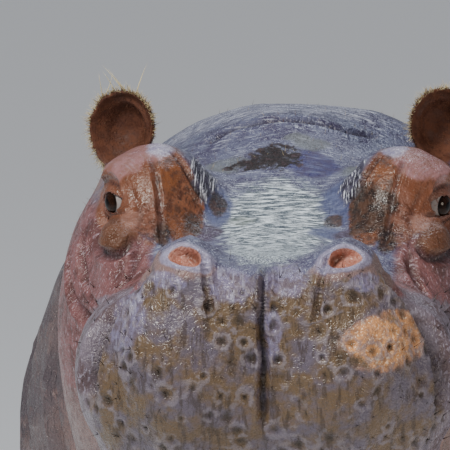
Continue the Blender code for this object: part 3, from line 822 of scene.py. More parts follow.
@dataclass
class Skin:
    """The one skin over all the flesh, made from the solids' own shape."""

    nodes: dict[str, bpy.types.Object]
    grain: float = 0.0055  # voxel size of the melt
    cut: float = 0.0006  # how far each solid grows, so that the cuts close
    coat: float = 0.0010  # how far the skin lies inside the solids
    lowest: float = 0.0004  # height of the soles
    thinned: float = 0.064  # share of the faces kept
    favour: float = 0.001  # how much more of them the face keeps
    smoothing: int = 150
    lid_gap: float = 0.0006  # between an eyeball and its lids
    eye_out: float = 0.0020  # how far the lids' middle is out of the eyeball's
    ear_half: tuple[float, float] = (0.041, 0.046)
    mouth: Mouth = Mouth()
    nostrils: Nostrils = Nostrils()
    eyes: Eyes = field(init=False)
    head: Frame = field(init=False)
    pits: Array = field(init=False)

    def __post_init__(self) -> None:
        """Finds the head from the eyes."""
        self.eyes = Eyes.from_nodes()
        self.head = self.eyes.head_frame()

    def flesh(self) -> list[str]:
        """The nodes that the skin stands for."""
        return [name for name in self.nodes if not name.startswith(("eye", "nail"))]

    def melted(self) -> bpy.types.Object:
        """All the solids as one closed mesh.

        Returns:
            The skin, still plain.
        """
        shape = bmesh.new()
        for node in self.nodes.values():
            part = shape_of(node.data, merged=True)
            part.normal_update()
            for vertex in part.verts:
                vertex.co += vertex.normal * self.cut
            loose = mesh_of(part, "loose")
            shape.from_mesh(loose)
            bpy.data.meshes.remove(loose)
        skin = link(mesh_of(shape, "skin"), "skin")
        modifier = skin.modifiers.new("melt", "REMESH")
        modifier.mode, modifier.voxel_size = "VOXEL", self.grain
        bake_modifiers(skin)
        return skin

    def measured(self, points: Array) -> dict[Measure, Array]:
        """The measures that need only the points' places.

        Args:
            points: the points.

        Returns:
            Each measure at each point.
        """
        sideways, ahead, up = self.head.local(points).T
        return {AHEAD: ahead, OUTWARD: np.abs(sideways), UP: up, HEIGHT: points[:, 2], BEHIND: points[:, 1]}

    def ear_share(self, points: Array, base: float = -1.0) -> Array:
        """How much each point belongs to an ear.

        Args:
            points: the points.
            base: the share of the ears' height that is left out, at their base.

        Returns:
            1 on the ears and 0 elsewhere.
        """
        found = np.zeros(len(points))
        for _, name in SIDES:
            low, high = (np.array(corner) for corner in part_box(f"ear_{name}"))
            middle, half = (low + high) / 2, (high - low) / 2
            height = (points[:, 2] - low[2]) / (high[2] - low[2])
            share = eased((np.abs(points - middle) / half).max(1), 1.3, 1.08) * eased(height, base, base + 0.2)
            found = np.maximum(found, share)
        return found

    def weigh(self, obj: bpy.types.Object, name: str, weights: Array, steps: int) -> None:
        """Makes a vertex group.

        Args:
            obj: the object.
            name: the group's name.
            weights: the weight of each point, from 0 to 1.
            steps: how many different weights are kept.
        """
        group = obj.vertex_groups.new(name=name)
        level = np.rint(np.clip(weights, 0, 1) * steps).astype(int)
        for step in range(1, steps + 1):
            chosen = np.flatnonzero(level == step)
            if len(chosen):
                group.add(chosen.tolist(), step / steps, "REPLACE")

    def soften(self, skin: bpy.types.Object) -> None:
        """Takes the facets out of the solids' shape, most on the body and least on the ears.

        Args:
            skin: the skin.
        """
        points = Surface(skin.data).points
        measured = self.measured(points)
        head, leg, foot, nape, tail = (
            within(zone, measured) for zone in ("shaped head", "leg", "foot", "bend of the nape", "tail")
        )
        free = (1 - 0.55 * leg) * (1 - head) + 0.10 * head
        free = (free * (1 - foot) + 0.06 * foot) * (1 - 0.75 * nape)
        free = (free * (1 - tail) + 0.08 * tail) * (1 - self.ear_share(points))
        self.weigh(skin, "free", free, 24)
        modifier = skin.modifiers.new("soften", "SMOOTH")
        modifier.factor, modifier.iterations, modifier.vertex_group = 0.5, self.smoothing, "free"
        bake_modifiers(skin)

    def thin(self, skin: bpy.types.Object) -> None:
        """Takes points out where the shape is plain, and keeps the most on the face.

        Args:
            skin: the skin.
        """
        points = Surface(skin.data).points
        measured = self.measured(points)
        head, foot = within("shaped head", measured), within("foot", measured)
        face = head * within("face", measured)
        keep_more = np.max([0.3 * head, 0.5 * face, 0.3 * foot, self.ear_share(points)], 0)
        self.weigh(skin, "plain", 1 - 0.95 * keep_more, 12)
        modifier = skin.modifiers.new("thin", "DECIMATE")
        modifier.ratio, modifier.vertex_group = self.thinned, "plain"
        modifier.vertex_group_factor = self.favour
        bake_modifiers(skin)

    def refine(self, skin: bpy.types.Object, zone: Callable[[Array], Array]) -> None:
        """Halves the edges of the faces in a zone.

        Args:
            skin: the skin.
            zone: says which of some points are in it.
        """
        shape = shape_of(skin.data)
        inside = zone(np.array([face.calc_center_median() for face in shape.faces]))
        chosen = dict.fromkeys(edge for face, wanted in zip(shape.faces, inside) if wanted for edge in face.edges)
        bmesh.ops.subdivide_edges(shape, edges=list(chosen), cuts=1, use_grid_fill=True)
        bmesh.ops.triangulate(shape, faces=shape.faces)
        shape.to_mesh(skin.data)
        shape.free()

    def face_zone(self, points: Array) -> Array:
        """The face, which needs small forms."""
        sideways, ahead, up = self.head.local(points).T
        face = (ahead > -0.13) & (up > -0.19) & (np.abs(sideways) < 0.25)
        return face | (self.ear_share(points) > 0.5)

    def fine_zone(self, points: Array) -> Array:
        """Which points are round the eyes and nostrils, or on the front of the muzzle.

        Args:
            points: the points.

        Returns:
            True for each of those.
        """
        places = self.head.local(points)
        places[:, 0] = np.abs(places[:, 0])
        near_eye = lengths(places - self.head.local(self.eyes.left)) < 0.040
        near_nostril = lengths(places - placed(self.nostrils.place)) < 0.036
        muzzle = (places[:, 1] > 0.31) & (places[:, 2] < 0.0) & (places[:, 2] > -0.10)
        return near_eye | near_nostril | muzzle

    def near_folds(self, points: Array, folds: tuple[Fold, ...], frame: Frame) -> Array:
        """Which points are along some creases.

        Args:
            points: the points.
            folds: the creases.
            frame: what they are given in.

        Returns:
            True for each of those.
        """
        tree = tree_of(points)
        close = np.zeros(len(points), bool)
        for fold in folds:
            reach = 1.5 * fold.width / 1000 + 0.003
            for spot in np.concatenate(fold.routes(frame, tree)):
                close[[number for _, number, _ in tree.find_range(spot, reach)]] = True
        return close

    def ear_frame(self, side: int) -> Frame:
        """Across, up and out of one ear's cup.

        Args:
            side: 1 for the left and -1 for the right.

        Returns:
            The ear's frame.
        """
        low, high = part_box("ear_left" if side > 0 else "ear_right")
        aim = aimed(np.array((side * 0.41, 0.91, 0.07)))
        up = aimed(np.array((side * 0.20, 0.0, 0.98)))
        axes = np.stack([self.head.turned(v) for v in (np.cross(aim, up), up, aim)])
        return Frame(np.array((low + high) / 2), axes)

    def fold_ears(self, surface: Surface) -> None:
        """Raises the ridge inside each ear and deepens its middle.

        Args:
            surface: the skin.
        """
        share, normals = self.ear_share(surface.points), surface.normals()
        for side, _ in SIDES:
            frame = self.ear_frame(side)
            x, y, _ = frame.local(surface.points).T
            around = np.hypot(x / self.ear_half[0], y / self.ear_half[1])
            open_side = share * eased(normals @ frame.axes[2], 0.1, 0.5) * (around < 1.1)
            upper = bell((np.arctan2(y, -side * x) - 0.5) / 1.3)  # the part nearer the crown
            ridge = bell((around - 0.62) / 0.10) * upper
            notch = bell((around - 0.80) / 0.09) * upper
            hollow = bell(np.hypot(x + side * 0.004, y + 0.008) / 0.016)
            move = open_side * (0.0050 * ridge - 0.0020 * notch - 0.0030 * hollow)
            surface.points += move[:, None] * frame.axes[2]

    def seat_ears(self, surface: Surface) -> None:
        """Lays the skin exactly over the ears' solids.

        Args:
            surface: the skin.
        """
        index = np.flatnonzero(self.ear_share(surface.points) > 0.02)
        for _, name in SIDES:
            shape = shape_of(self.nodes[f"ear_{name}"].data, merged=True)
            tree = BVHTree.FromBMesh(shape)
            for number in index:
                point = surface.points[number]  # a view, which is moved in place
                spot, _, _, away = tree.find_nearest(point.tolist())
                point += eased(away, 0.008, 0.003) * (np.array(spot) - point)
            shape.free()

    def shape_lids(self, surface: Surface) -> Array:
        """Opens the lids over both eyeballs.

        Args:
            surface: the skin.

        Returns:
            How near each point is to a lid's edge.
        """
        edge = np.zeros(len(surface.points))
        for (side, _), middle in zip(SIDES, (self.eyes.left, self.eyes.right)):
            aim = self.head.turned((side * 0.86, 0.52, 0.0))
            lids = Lids(side, middle + aim * self.eye_out, self.eyes.radius + self.lid_gap, self.head)
            edge = np.maximum(edge, lids.shape(surface))
        return edge

    def sculpt(self, surface: Surface) -> dict[str, Array]:
        """Adds every form to the skin's surface, and draws it in by the coat's depth.

        Args:
            surface: the skin.

        Returns:
            Where the forms are, by the name of their marking.
        """
        surface.smooth(0.5 * (1 - 0.8 * self.ear_share(surface.points)), 5)
        self.seat_ears(surface)
        surface.smooth(0.4 * self.ear_share(surface.points), 2)
        self.fold_ears(surface)
        for swell in HEAD_SWELLS:
            swell.add_to(surface, self.head)
        crease = np.zeros(len(surface.points))
        tree = tree_of(surface.points)
        for fold in BODY_FOLDS:
            fold.add_to(surface, BODY_FRAME, tree, crease)
        for fold in (*NECK_FOLDS, PAD_FOLD, *HEAD_FOLDS):
            fold.add_to(surface, self.head, tree, crease)
        self.mouth.add_to(surface, self.head, crease)
        surface.smooth(0.35 * (crease > 0.05), 2)
        CROWN_FOLD.add_to(surface, self.head, tree, crease)
        marks = {"crease": crease, "lid": self.shape_lids(surface)} | self.nostrils.open(surface, self.head)
        pit_marks, self.pits = Pits().press(surface, self.head)
        surface.points -= surface.normals() * self.coat
        surface.points[:, 2] = np.maximum(surface.points[:, 2], self.lowest)
        surface.write()
        return marks | pit_marks

    def build(self) -> bpy.types.Object:
        """Makes the skin.

        Returns:
            The skin, with its markings kept as attributes.
        """
        skin = self.melted()
        LOG.info("skin melted: %d faces", len(skin.data.polygons))
        self.soften(skin)
        self.thin(skin)
        LOG.info("skin thinned: %d faces", len(skin.data.polygons))
        self.refine(skin, self.face_zone)
        for folds, frame in (((*HEAD_FOLDS, CROWN_FOLD), self.head), ((CROWN_FOLD,), self.head),
                             (NECK_FOLDS, self.head), (BODY_FOLDS, BODY_FRAME)):
            self.refine(skin, lambda points: self.near_folds(points, folds, frame))
        for _ in range(2):
            self.refine(skin, lambda points: self.mouth.near(self.head.local(points)))
        self.refine(skin, self.fine_zone)
        LOG.info("skin refined: %d faces", len(skin.data.polygons))
        surface = Surface(skin.data)
        self.mark_regions(surface, self.sculpt(surface))
        self.mark_lie(surface)
        return skin

    def mark_lie(self, surface: Surface, middle: float = 0.34, eye: float = 0.176) -> None:
        """Keeps coordinates that follow the hide's fine lines, each as (across the lines, along them, up).

        Args:
            surface: the skin.
            middle: how far ahead of the eyes the arcs have their middle.
            eye: how far out the rings round the eyes have theirs.
        """
        sideways, ahead, up = self.head.local(surface.points).T
        arcs = np.stack([np.hypot(sideways, middle - ahead), np.arctan2(sideways, middle - ahead) * 0.30, up], 1)
        falls = np.stack([sideways, 0.5 * ahead, up], 1)
        beside = np.stack([np.abs(sideways) - eye, ahead - 0.010, up], 1)
        rings = np.stack([lengths(beside), 0.05 * np.arctan2(beside[:, 2], -beside[:, 0]), 0 * up], 1)
        for name, values in (("arcs", arcs), ("falls", falls), ("rings", rings)):
            keep(surface.mesh, name, values)

    def mark_regions(self, surface: Surface, marks: dict[str, Array]) -> None:
        """Keeps, as attributes, where each of the hide's colours belongs and where light and shade are painted on it.

        Args:
            surface: the skin.
            marks: what the shaping found already, by name.
        """
        normals, places = surface.normals(), self.head.local(surface.points)
        measured = self.measured(surface.points)
        facing = (normals @ self.head.axes.T)[:, 2]
        for _ in range(10):
            facing = surface.mean_of_neighbours(facing)
        measured[FACING] = facing
        measured[INWARD] = -normals[:, 0] * np.sign(surface.points[:, 0])
        measured[BELOW_EYE] = measured[UP] + 0.03 + 0.35 * np.maximum(0.25 - measured[AHEAD], 0)
        measured[LIP], _ = self.mouth.place(places)
        mirrored = np.stack([measured[OUTWARD], measured[AHEAD], measured[UP]], 1)
        zones = {zone: within(zone, measured) for zone in ZONES}
        ear, upper = self.ear_share(surface.points, -0.04), 1 - zones["lower lip"]
        marks |= {name: zones[name] for name in ("head", "chin", "cheek")}
        marks |= {
            "ear": ear,
            "mound": eased(EYE_MOUND.away(mirrored), 1.15, 0.85) * (1 - ear),
            "strip": eased(INNER_STRIP.away(mirrored), 1.15, 0.7),
            "muzzle": zones["muzzle"] * upper * zones["head"],
            "flank": zones["flank"] * upper,
            # painted sky reflection on the skin that faces up
            "top": zones["top"] * (0.50 + 0.50 * zones["fore part"]),
            "belly": np.maximum(zones["belly"], 0.7 * zones["inner leg"]),
        }
        for mark, patches in PATCHES.items():
            marks[mark] = np.zeros(len(places))
            for patch in patches:
                patch.add_to(marks[mark], places)
        for name, values in marks.items():
            keep(surface.mesh, name, np.clip(values, 0, 1))


# ---------------------------------------------------------------------------------------------
# Finishes

Colour = tuple[float, float, float]
Socket = bpy.types.NodeSocket
FLOAT, VECTOR, COLOUR = "NodeSocketFloat", "NodeSocketVector", "NodeSocketColor"


class Bench:
    """Places and joins the nodes of one tree."""

    def __init__(self, tree: bpy.types.NodeTree) -> None:
        """Works on the tree."""
        self.tree = tree

    def feed(self, socket: Socket, value: object) -> None:
        """Links an output to an input, or sets the input's value.

        Args:
            socket: the input.
            value: another node's output, a number, a vector or a colour.
        """
        if isinstance(value, bpy.types.NodeSocket):
            self.tree.links.new(value, socket)
        else:
            socket.default_value = (*value, 1) if socket.type == "RGBA" else value

    def add(self, kind: str, inputs: dict | None = None, **settings: object) -> bpy.types.Node:
        """Places a node.

        Args:
            kind: its type.
            inputs: values or other nodes' outputs, by the input's name or number.
            settings: its own settings.

        Returns:
            The node.
        """
        node = self.tree.nodes.new(kind)
        for name, value in settings.items():
            setattr(node, name, value)
        for key, value in (inputs or {}).items():
            self.feed(node.inputs[key], value)
        return node

    def math(self, operation: str, *values: object) -> Socket:
        """One sum."""
        return self.add("ShaderNodeMath", dict(enumerate(values)), operation=operation).outputs[0]

    def product(self, *factors: object) -> Socket:
        """All the factors multiplied."""
        return reduce(lambda one, two: self.math("MULTIPLY", one, two), factors)

    def total(self, *terms: object) -> Socket:
        """All the terms added."""
        return reduce(lambda one, two: self.math("ADD", one, two), terms)

    def greatest(self, *values: object) -> Socket:
        """The greatest of the values."""
        return reduce(lambda one, two: self.math("MAXIMUM", one, two), values)

    def vectors(self, operation: str, one: object, two: object) -> Socket:
        """One sum of two vectors."""
        return self.add("ShaderNodeVectorMath", {0: one, 1: two}, operation=operation).outputs[0]

    def mix(self, share: object, one: object, two: object) -> Socket:
        """Two colours mixed.

        Args:
            share: how much of the second there is.
            one: the first colour.
            two: the second.

        Returns:
            The mixed colour.
        """
        node = self.add("ShaderNodeMix", data_type="RGBA", clamp_factor=True)
        for socket, value in zip((node.inputs[0], node.inputs[6], node.inputs[7]), (share, one, two)):
            self.feed(socket, value)
        return node.outputs[2]

    def attribute(self, name: str, output: str = "Fac") -> Socket:
        """A value kept at the points."""
        return self.add("ShaderNodeAttribute", attribute_name=name).outputs[output]

    def noise(self, vector: Socket, scale: float, detail: float = 3.0, roughness: float = 0.6) -> Socket:
        """Soft random values from 0 to 1."""
        inputs = {"Vector": vector, "Scale": scale, "Detail": detail, "Roughness": roughness}
        return self.add("ShaderNodeTexNoise", inputs).outputs[0]

    def net(self, vector: Socket, scale: float, width: float) -> Socket:
        """0 along the borders of random cells and 1 inside them."""
        cells = self.add("ShaderNodeTexVoronoi", {"Vector": vector, "Scale": scale}, feature="DISTANCE_TO_EDGE")
        return self.step(cells.outputs[0], 0.0, width)

    def step(self, value: Socket, low: object, high: object) -> Socket:
        """Rises smoothly from 0 to 1 between two values."""
        inputs = {"Value": value, "From Min": low, "From Max": high}
        return self.add("ShaderNodeMapRange", inputs, interpolation_type="SMOOTHSTEP").outputs[0]

    def group(self, tree: bpy.types.NodeTree, inputs: dict) -> Socket:
        """What a shared effect puts out for this material's own values."""
        return self.add("ShaderNodeGroup", inputs, node_tree=tree).outputs[0]


class MaterialBench(Bench):
    """A bench on a new material."""

    def __init__(self, name: str) -> None:
        """Makes the material.

        Args:
            name: its name.
        """
        self.material = bpy.data.materials.new(name)
        self.material.use_nodes = True
        super().__init__(self.material.node_tree)
        self.place = self.add("ShaderNodeTexCoord").outputs["Object"]

    def finished(self, inputs: dict[str, object]) -> bpy.types.Material:
        """Feeds the shader.

        Args:
            inputs: values or nodes' outputs, by the shader input's name.

        Returns:
            The material.
        """
        shader = self.tree.nodes["Principled BSDF"]
        for name, value in inputs.items():
            self.feed(shader.inputs[name], value)
        return self.material


def shared_group(name: str, inputs: dict[str, str], output: tuple[str, str],
                 make: Callable[[Bench, dict], Socket]) -> bpy.types.NodeTree:
    """A new node group.

    Args:
        name: the group's name.
        inputs: each input's name and socket type.
        output: the output's name and socket type.
        make: places the nodes, given a bench on the group and its inputs, and returns what it puts out.

    Returns:
        The group.
    """
    tree = bpy.data.node_groups.new(name, "ShaderNodeTree")
    for key, kind in inputs.items():
        tree.interface.new_socket(key, in_out="INPUT", socket_type=kind)
    tree.interface.new_socket(output[0], in_out="OUTPUT", socket_type=output[1])
    bench, given = Bench(tree), tree.nodes.new("NodeGroupInput").outputs
    bench.feed(tree.nodes.new("NodeGroupOutput").inputs[0], make(bench, given))
    return tree


def ragged(bench: Bench, given: dict) -> Socket:
    """A mask whose soft edge is broken up by a pattern.

    Args:
        bench: a bench on the group.
        given: the group's inputs, by name.

    Returns:
        The mask.
    """
    shift = bench.product(bench.math("SUBTRACT", given["Pattern"], 0.5), given["Amount"],
                          bench.step(given["Mask"], 0.02, 0.3))
    return bench.product(bench.step(bench.total(given["Mask"], shift), 0.25, 0.75), given["Strength"])


def mottle(bench: Bench, given: dict) -> Socket:
    """Three colours by two patterns: ground, blotches, and spots over both.

    Args:
        bench: a bench on the group.
        given: the group's inputs, by name.

    Returns:
        The colour.
    """
    ground = bench.mix(bench.step(given["Large"], 0.40, 0.62), given["Ground"], given["Blotch"])
    common = bench.step(given["Small"], given["Rarity"], bench.total(given["Rarity"], 0.12))
    return bench.mix(bench.product(common, given["Spots"]), ground, given["Spot"])


def relief(bench: Bench, given: dict) -> Socket:
    """The hide's fine cracks, grain and wrinkles, as one height.

    Args:
        bench: a bench on the group.
        given: the group's inputs, by name.

    Returns:
        The height.
    """
    wander = bench.add("ShaderNodeTexNoise", {"Vector": given["Vector"], "Scale": 30.0, "Detail": 2.0}).outputs[1]
    vector = bench.vectors("ADD", given["Vector"], bench.vectors("MULTIPLY", wander, (0.02, 0.02, 0.02)))
    cracks = bench.product(bench.net(vector, 210.0, 0.22), given["Cracks"])
    grain = bench.product(bench.noise(given["Vector"], 420.0, 3.0, 0.5), given["Grain"])
    plates = bench.product(bench.net(bench.vectors("MULTIPLY", vector, (1.0, 1.0, 0.6)), 62.0, 0.14), 0.9)
    wrinkles = bench.product(bench.total(bench.noise(given["Vector"], 70.0, 3.0, 0.5), plates), given["Wrinkles"])
    return bench.total(cracks, grain, wrinkles)


class Groups:
    """The effects that several finishes share."""

    def __init__(self) -> None:
        """Makes them."""
        masks = dict.fromkeys(("Mask", "Pattern", "Amount", "Strength"), FLOAT)
        colours = dict.fromkeys(("Ground", "Blotch", "Spot"), COLOUR)
        patterns, amounts = dict.fromkeys(("Large", "Small"), FLOAT), dict.fromkeys(("Spots", "Rarity"), FLOAT)
        heights = {"Vector": VECTOR} | dict.fromkeys(("Cracks", "Grain", "Wrinkles"), FLOAT)
        self.ragged = shared_group("ragged edge", masks, ("Mask", FLOAT), ragged)
        self.mottle = shared_group("mottle", patterns | colours | amounts, ("Color", COLOUR), mottle)
        self.relief = shared_group("hide relief", heights, ("Height", FLOAT), relief)


class Pattern(Enum):
    """Random patterns on the hide: what they follow, and their scale in cells a metre each way."""

    BROAD = ("", (7.0, 7.0, 7.0))
    MIDDLE = ("", (30.0, 30.0, 30.0))
    SMALL = ("", (95.0, 95.0, 95.0))
    TINY = ("", (300.0, 300.0, 300.0))
    ARCS = ("arcs", (400.0, 58.0, 180.0))
    FALLS = ("falls", (190.0, 44.0, 44.0))
    RUNNELS = ("falls", (620.0, 60.0, 60.0))
    RINGS = ("rings", (330.0, 70.0, 1.0))


BROAD, MIDDLE, SMALL, TINY, ARCS, FALLS, RUNNELS, RINGS = Pattern
Patterns = dict[Pattern, Socket]


@dataclass(frozen=True)
class Region:
    """Where a mark lies on the hide, its colours and the patterns that part them."""

    mark: str
    ground: Colour
    blotch: Colour
    spot: Colour
    large: Pattern = SMALL  # parts the blotches from the ground
    small: Pattern = TINY  # makes the spots
    spots: float = 0.6  # how strong the spots are
    ragged: float = 0.5
    strength: float = 1.0
    edge: Pattern = SMALL
    rarity: float = 0.54  # of the spots


HIDE_REGIONS = (
    Region("belly", (0.30, 0.18, 0.165), (0.22, 0.14, 0.135), (0.14, 0.10, 0.10), BROAD, MIDDLE),
    Region("head", (0.17, 0.115, 0.11), (0.22, 0.145, 0.14), (0.10, 0.075, 0.085), BROAD, SMALL, ragged=1.5,
           edge=MIDDLE),
    # top: the hide's dark grey-violet tinted blue and with pale streaks, partly painted sky reflection on skin that
    # faces up
    Region("top", (0.100, 0.115, 0.20), (0.045, 0.046, 0.105), (0.38, 0.42, 0.54), MIDDLE, ARCS, spots=0.8,
           ragged=1.3, strength=0.9, edge=MIDDLE, rarity=0.55),
    # nape: lavender ground and pale streaks, partly painted sky reflection on the wet skin
    Region("nape", (0.19, 0.20, 0.28), (0.10, 0.105, 0.17), (0.50, 0.53, 0.64), SMALL, ARCS, spots=0.9, ragged=1.2,
           strength=0.8, rarity=0.48),
    # dish: bluish ground and pale bluish streaks, painted reflections of the sky on the wet forehead
    Region("dish", (0.095, 0.122, 0.145), (0.045, 0.063, 0.085), (0.72, 0.82, 0.90), SMALL, ARCS, spots=1.0,
           ragged=1.1, rarity=0.47),
    # blue: dark blue, partly the hide's colour and partly painted shade at the foot of the eye mounds
    Region("blue", (0.050, 0.062, 0.145), (0.09, 0.11, 0.22), (0.022, 0.025, 0.07), SMALL, RUNNELS, spots=0.8,
           ragged=1.3, strength=0.85, edge=MIDDLE),
    Region("violet", (0.034, 0.032, 0.125), (0.060, 0.050, 0.11), (0.12, 0.14, 0.26), SMALL, ARCS, ragged=1.8,
           strength=0.9, edge=MIDDLE, rarity=0.50),
    Region("plum", (0.070, 0.052, 0.085), (0.040, 0.026, 0.040), (0.17, 0.16, 0.28), SMALL, ARCS, ragged=1.8,
           strength=0.9, edge=MIDDLE, rarity=0.52),
    Region("green", (0.12, 0.14, 0.09), (0.16, 0.19, 0.15), (0.09, 0.10, 0.05), SMALL, ARCS, ragged=1.8, strength=0.4,
           edge=MIDDLE),
    Region("speckled", (0.006, 0.004, 0.005), (0.020, 0.010, 0.010), (0.085, 0.060, 0.075), TINY, SMALL, ragged=2.4,
           rarity=0.55),
    # cheek: the hide's pink-brown, with pale spots painted as glints on the wet skin
    Region("cheek", (0.19, 0.085, 0.088), (0.095, 0.040, 0.038), (0.46, 0.35, 0.42), MIDDLE, ARCS, spots=0.65,
           rarity=0.56),
    # flank: the hide's lavender-grey, with pale spots painted as glints
    Region("flank", (0.160, 0.138, 0.175), (0.095, 0.066, 0.075), (0.30, 0.28, 0.36), MIDDLE, ARCS, spots=0.8,
           ragged=1.3, strength=0.95),
    Region("chin", (0.255, 0.160, 0.140), (0.165, 0.112, 0.100), (0.33, 0.22, 0.20), MIDDLE, SMALL, spots=0.5,
           ragged=1.2, strength=0.9, edge=MIDDLE),
    Region("mound", (0.140, 0.052, 0.027), (0.19, 0.082, 0.055), (0.080, 0.029, 0.016), MIDDLE, RINGS),
    Region("mottled", (0.070, 0.027, 0.017), (0.15, 0.060, 0.037), (0.32, 0.19, 0.16), spots=0.55, ragged=1.4,
           strength=0.9),
    Region("bag", (0.090, 0.036, 0.018), (0.130, 0.058, 0.034), (0.18, 0.095, 0.072), MIDDLE, RINGS, spots=0.5,
           ragged=0.6),
    Region("brow_top", (0.33, 0.185, 0.21), (0.24, 0.125, 0.12), (0.46, 0.33, 0.38), SMALL, RINGS, spots=0.5,
           ragged=1.8, strength=0.62, edge=MIDDLE),
    # sheen: painted highlight, bluish white, on the top of each eye mound
    Region("sheen", (0.34, 0.34, 0.46), (0.20, 0.20, 0.34), (0.62, 0.64, 0.74), ragged=1.6, strength=0.8,
           edge=MIDDLE),
    Region("strip", (0.085, 0.035, 0.022), (0.19, 0.072, 0.036), (0.020, 0.014, 0.012), spots=0.8, ragged=0.9),
    # streaked: dark ground with pale bluish streaks painted as highlights on the wet skin
    Region("streaked", (0.018, 0.016, 0.026), (0.060, 0.055, 0.090), (0.72, 0.76, 0.86), SMALL, RUNNELS, spots=1.0,
           ragged=1.3, rarity=0.52),
    Region("orange", (0.165, 0.060, 0.024), (0.085, 0.033, 0.018), (0.045, 0.020, 0.013), SMALL, SMALL, spots=0.8,
           ragged=1.6, strength=0.9),
    # dark: near-black, partly the hide's own colour and partly painted shade
    Region("dark", (0.018, 0.014, 0.013), (0.05, 0.024, 0.014), (0.16, 0.10, 0.08), spots=0.4, ragged=2.0,
           strength=0.9, edge=MIDDLE),
    # ledge: pale pink, partly the skin's colour and partly a painted highlight on the ledge under the eye
    Region("ledge", (0.32, 0.170, 0.130), (0.22, 0.110, 0.085), (0.42, 0.27, 0.23), SMALL, RINGS, spots=0.4,
           ragged=1.2, strength=0.55),
    Region("muzzle", (0.125, 0.084, 0.050), (0.110, 0.094, 0.125), (0.040, 0.027, 0.019), MIDDLE, FALLS, ragged=1.2,
           rarity=0.51),
    Region("lavender", (0.20, 0.185, 0.31), (0.105, 0.085, 0.125), (0.38, 0.38, 0.52), SMALL, FALLS, spots=0.7,
           ragged=2.0, strength=0.75, edge=MIDDLE),
    # glow: painted pool of light, bright orange, with pale spots as painted highlights
    Region("glow", (0.66, 0.31, 0.12), (0.32, 0.160, 0.075), (0.95, 0.74, 0.54), spots=0.7, ragged=2.0, strength=0.82,
           edge=MIDDLE),
    Region("halo", (0.25, 0.22, 0.24), (0.21, 0.19, 0.23), (0.34, 0.30, 0.31), spots=0.4, ragged=1.6, strength=0.5),
    Region("lid", (0.13, 0.055, 0.040), (0.10, 0.042, 0.034), (0.20, 0.11, 0.10), spots=0.4, ragged=0.3,
           strength=0.8),
    # rim: the nostrils' pale lavender rims, partly the skin's colour and partly painted highlight
    Region("rim", (0.30, 0.29, 0.43), (0.22, 0.20, 0.30), (0.46, 0.44, 0.54), spots=0.5, ragged=0.6, strength=0.95),
    Region("nostril", (0.37, 0.150, 0.110), (0.42, 0.205, 0.165), (0.22, 0.075, 0.042), ragged=0.3),
    # painted shade deep in the upper part of each nostril
    Region("throat", (0.16, 0.045, 0.022), (0.10, 0.035, 0.020), (0.24, 0.08, 0.04), spots=0.5, ragged=0.3,
           strength=0.8),
    Region("ear", (0.062, 0.019, 0.009), (0.092, 0.032, 0.016), (0.034, 0.010, 0.005), spots=0.5, ragged=0.3),
)


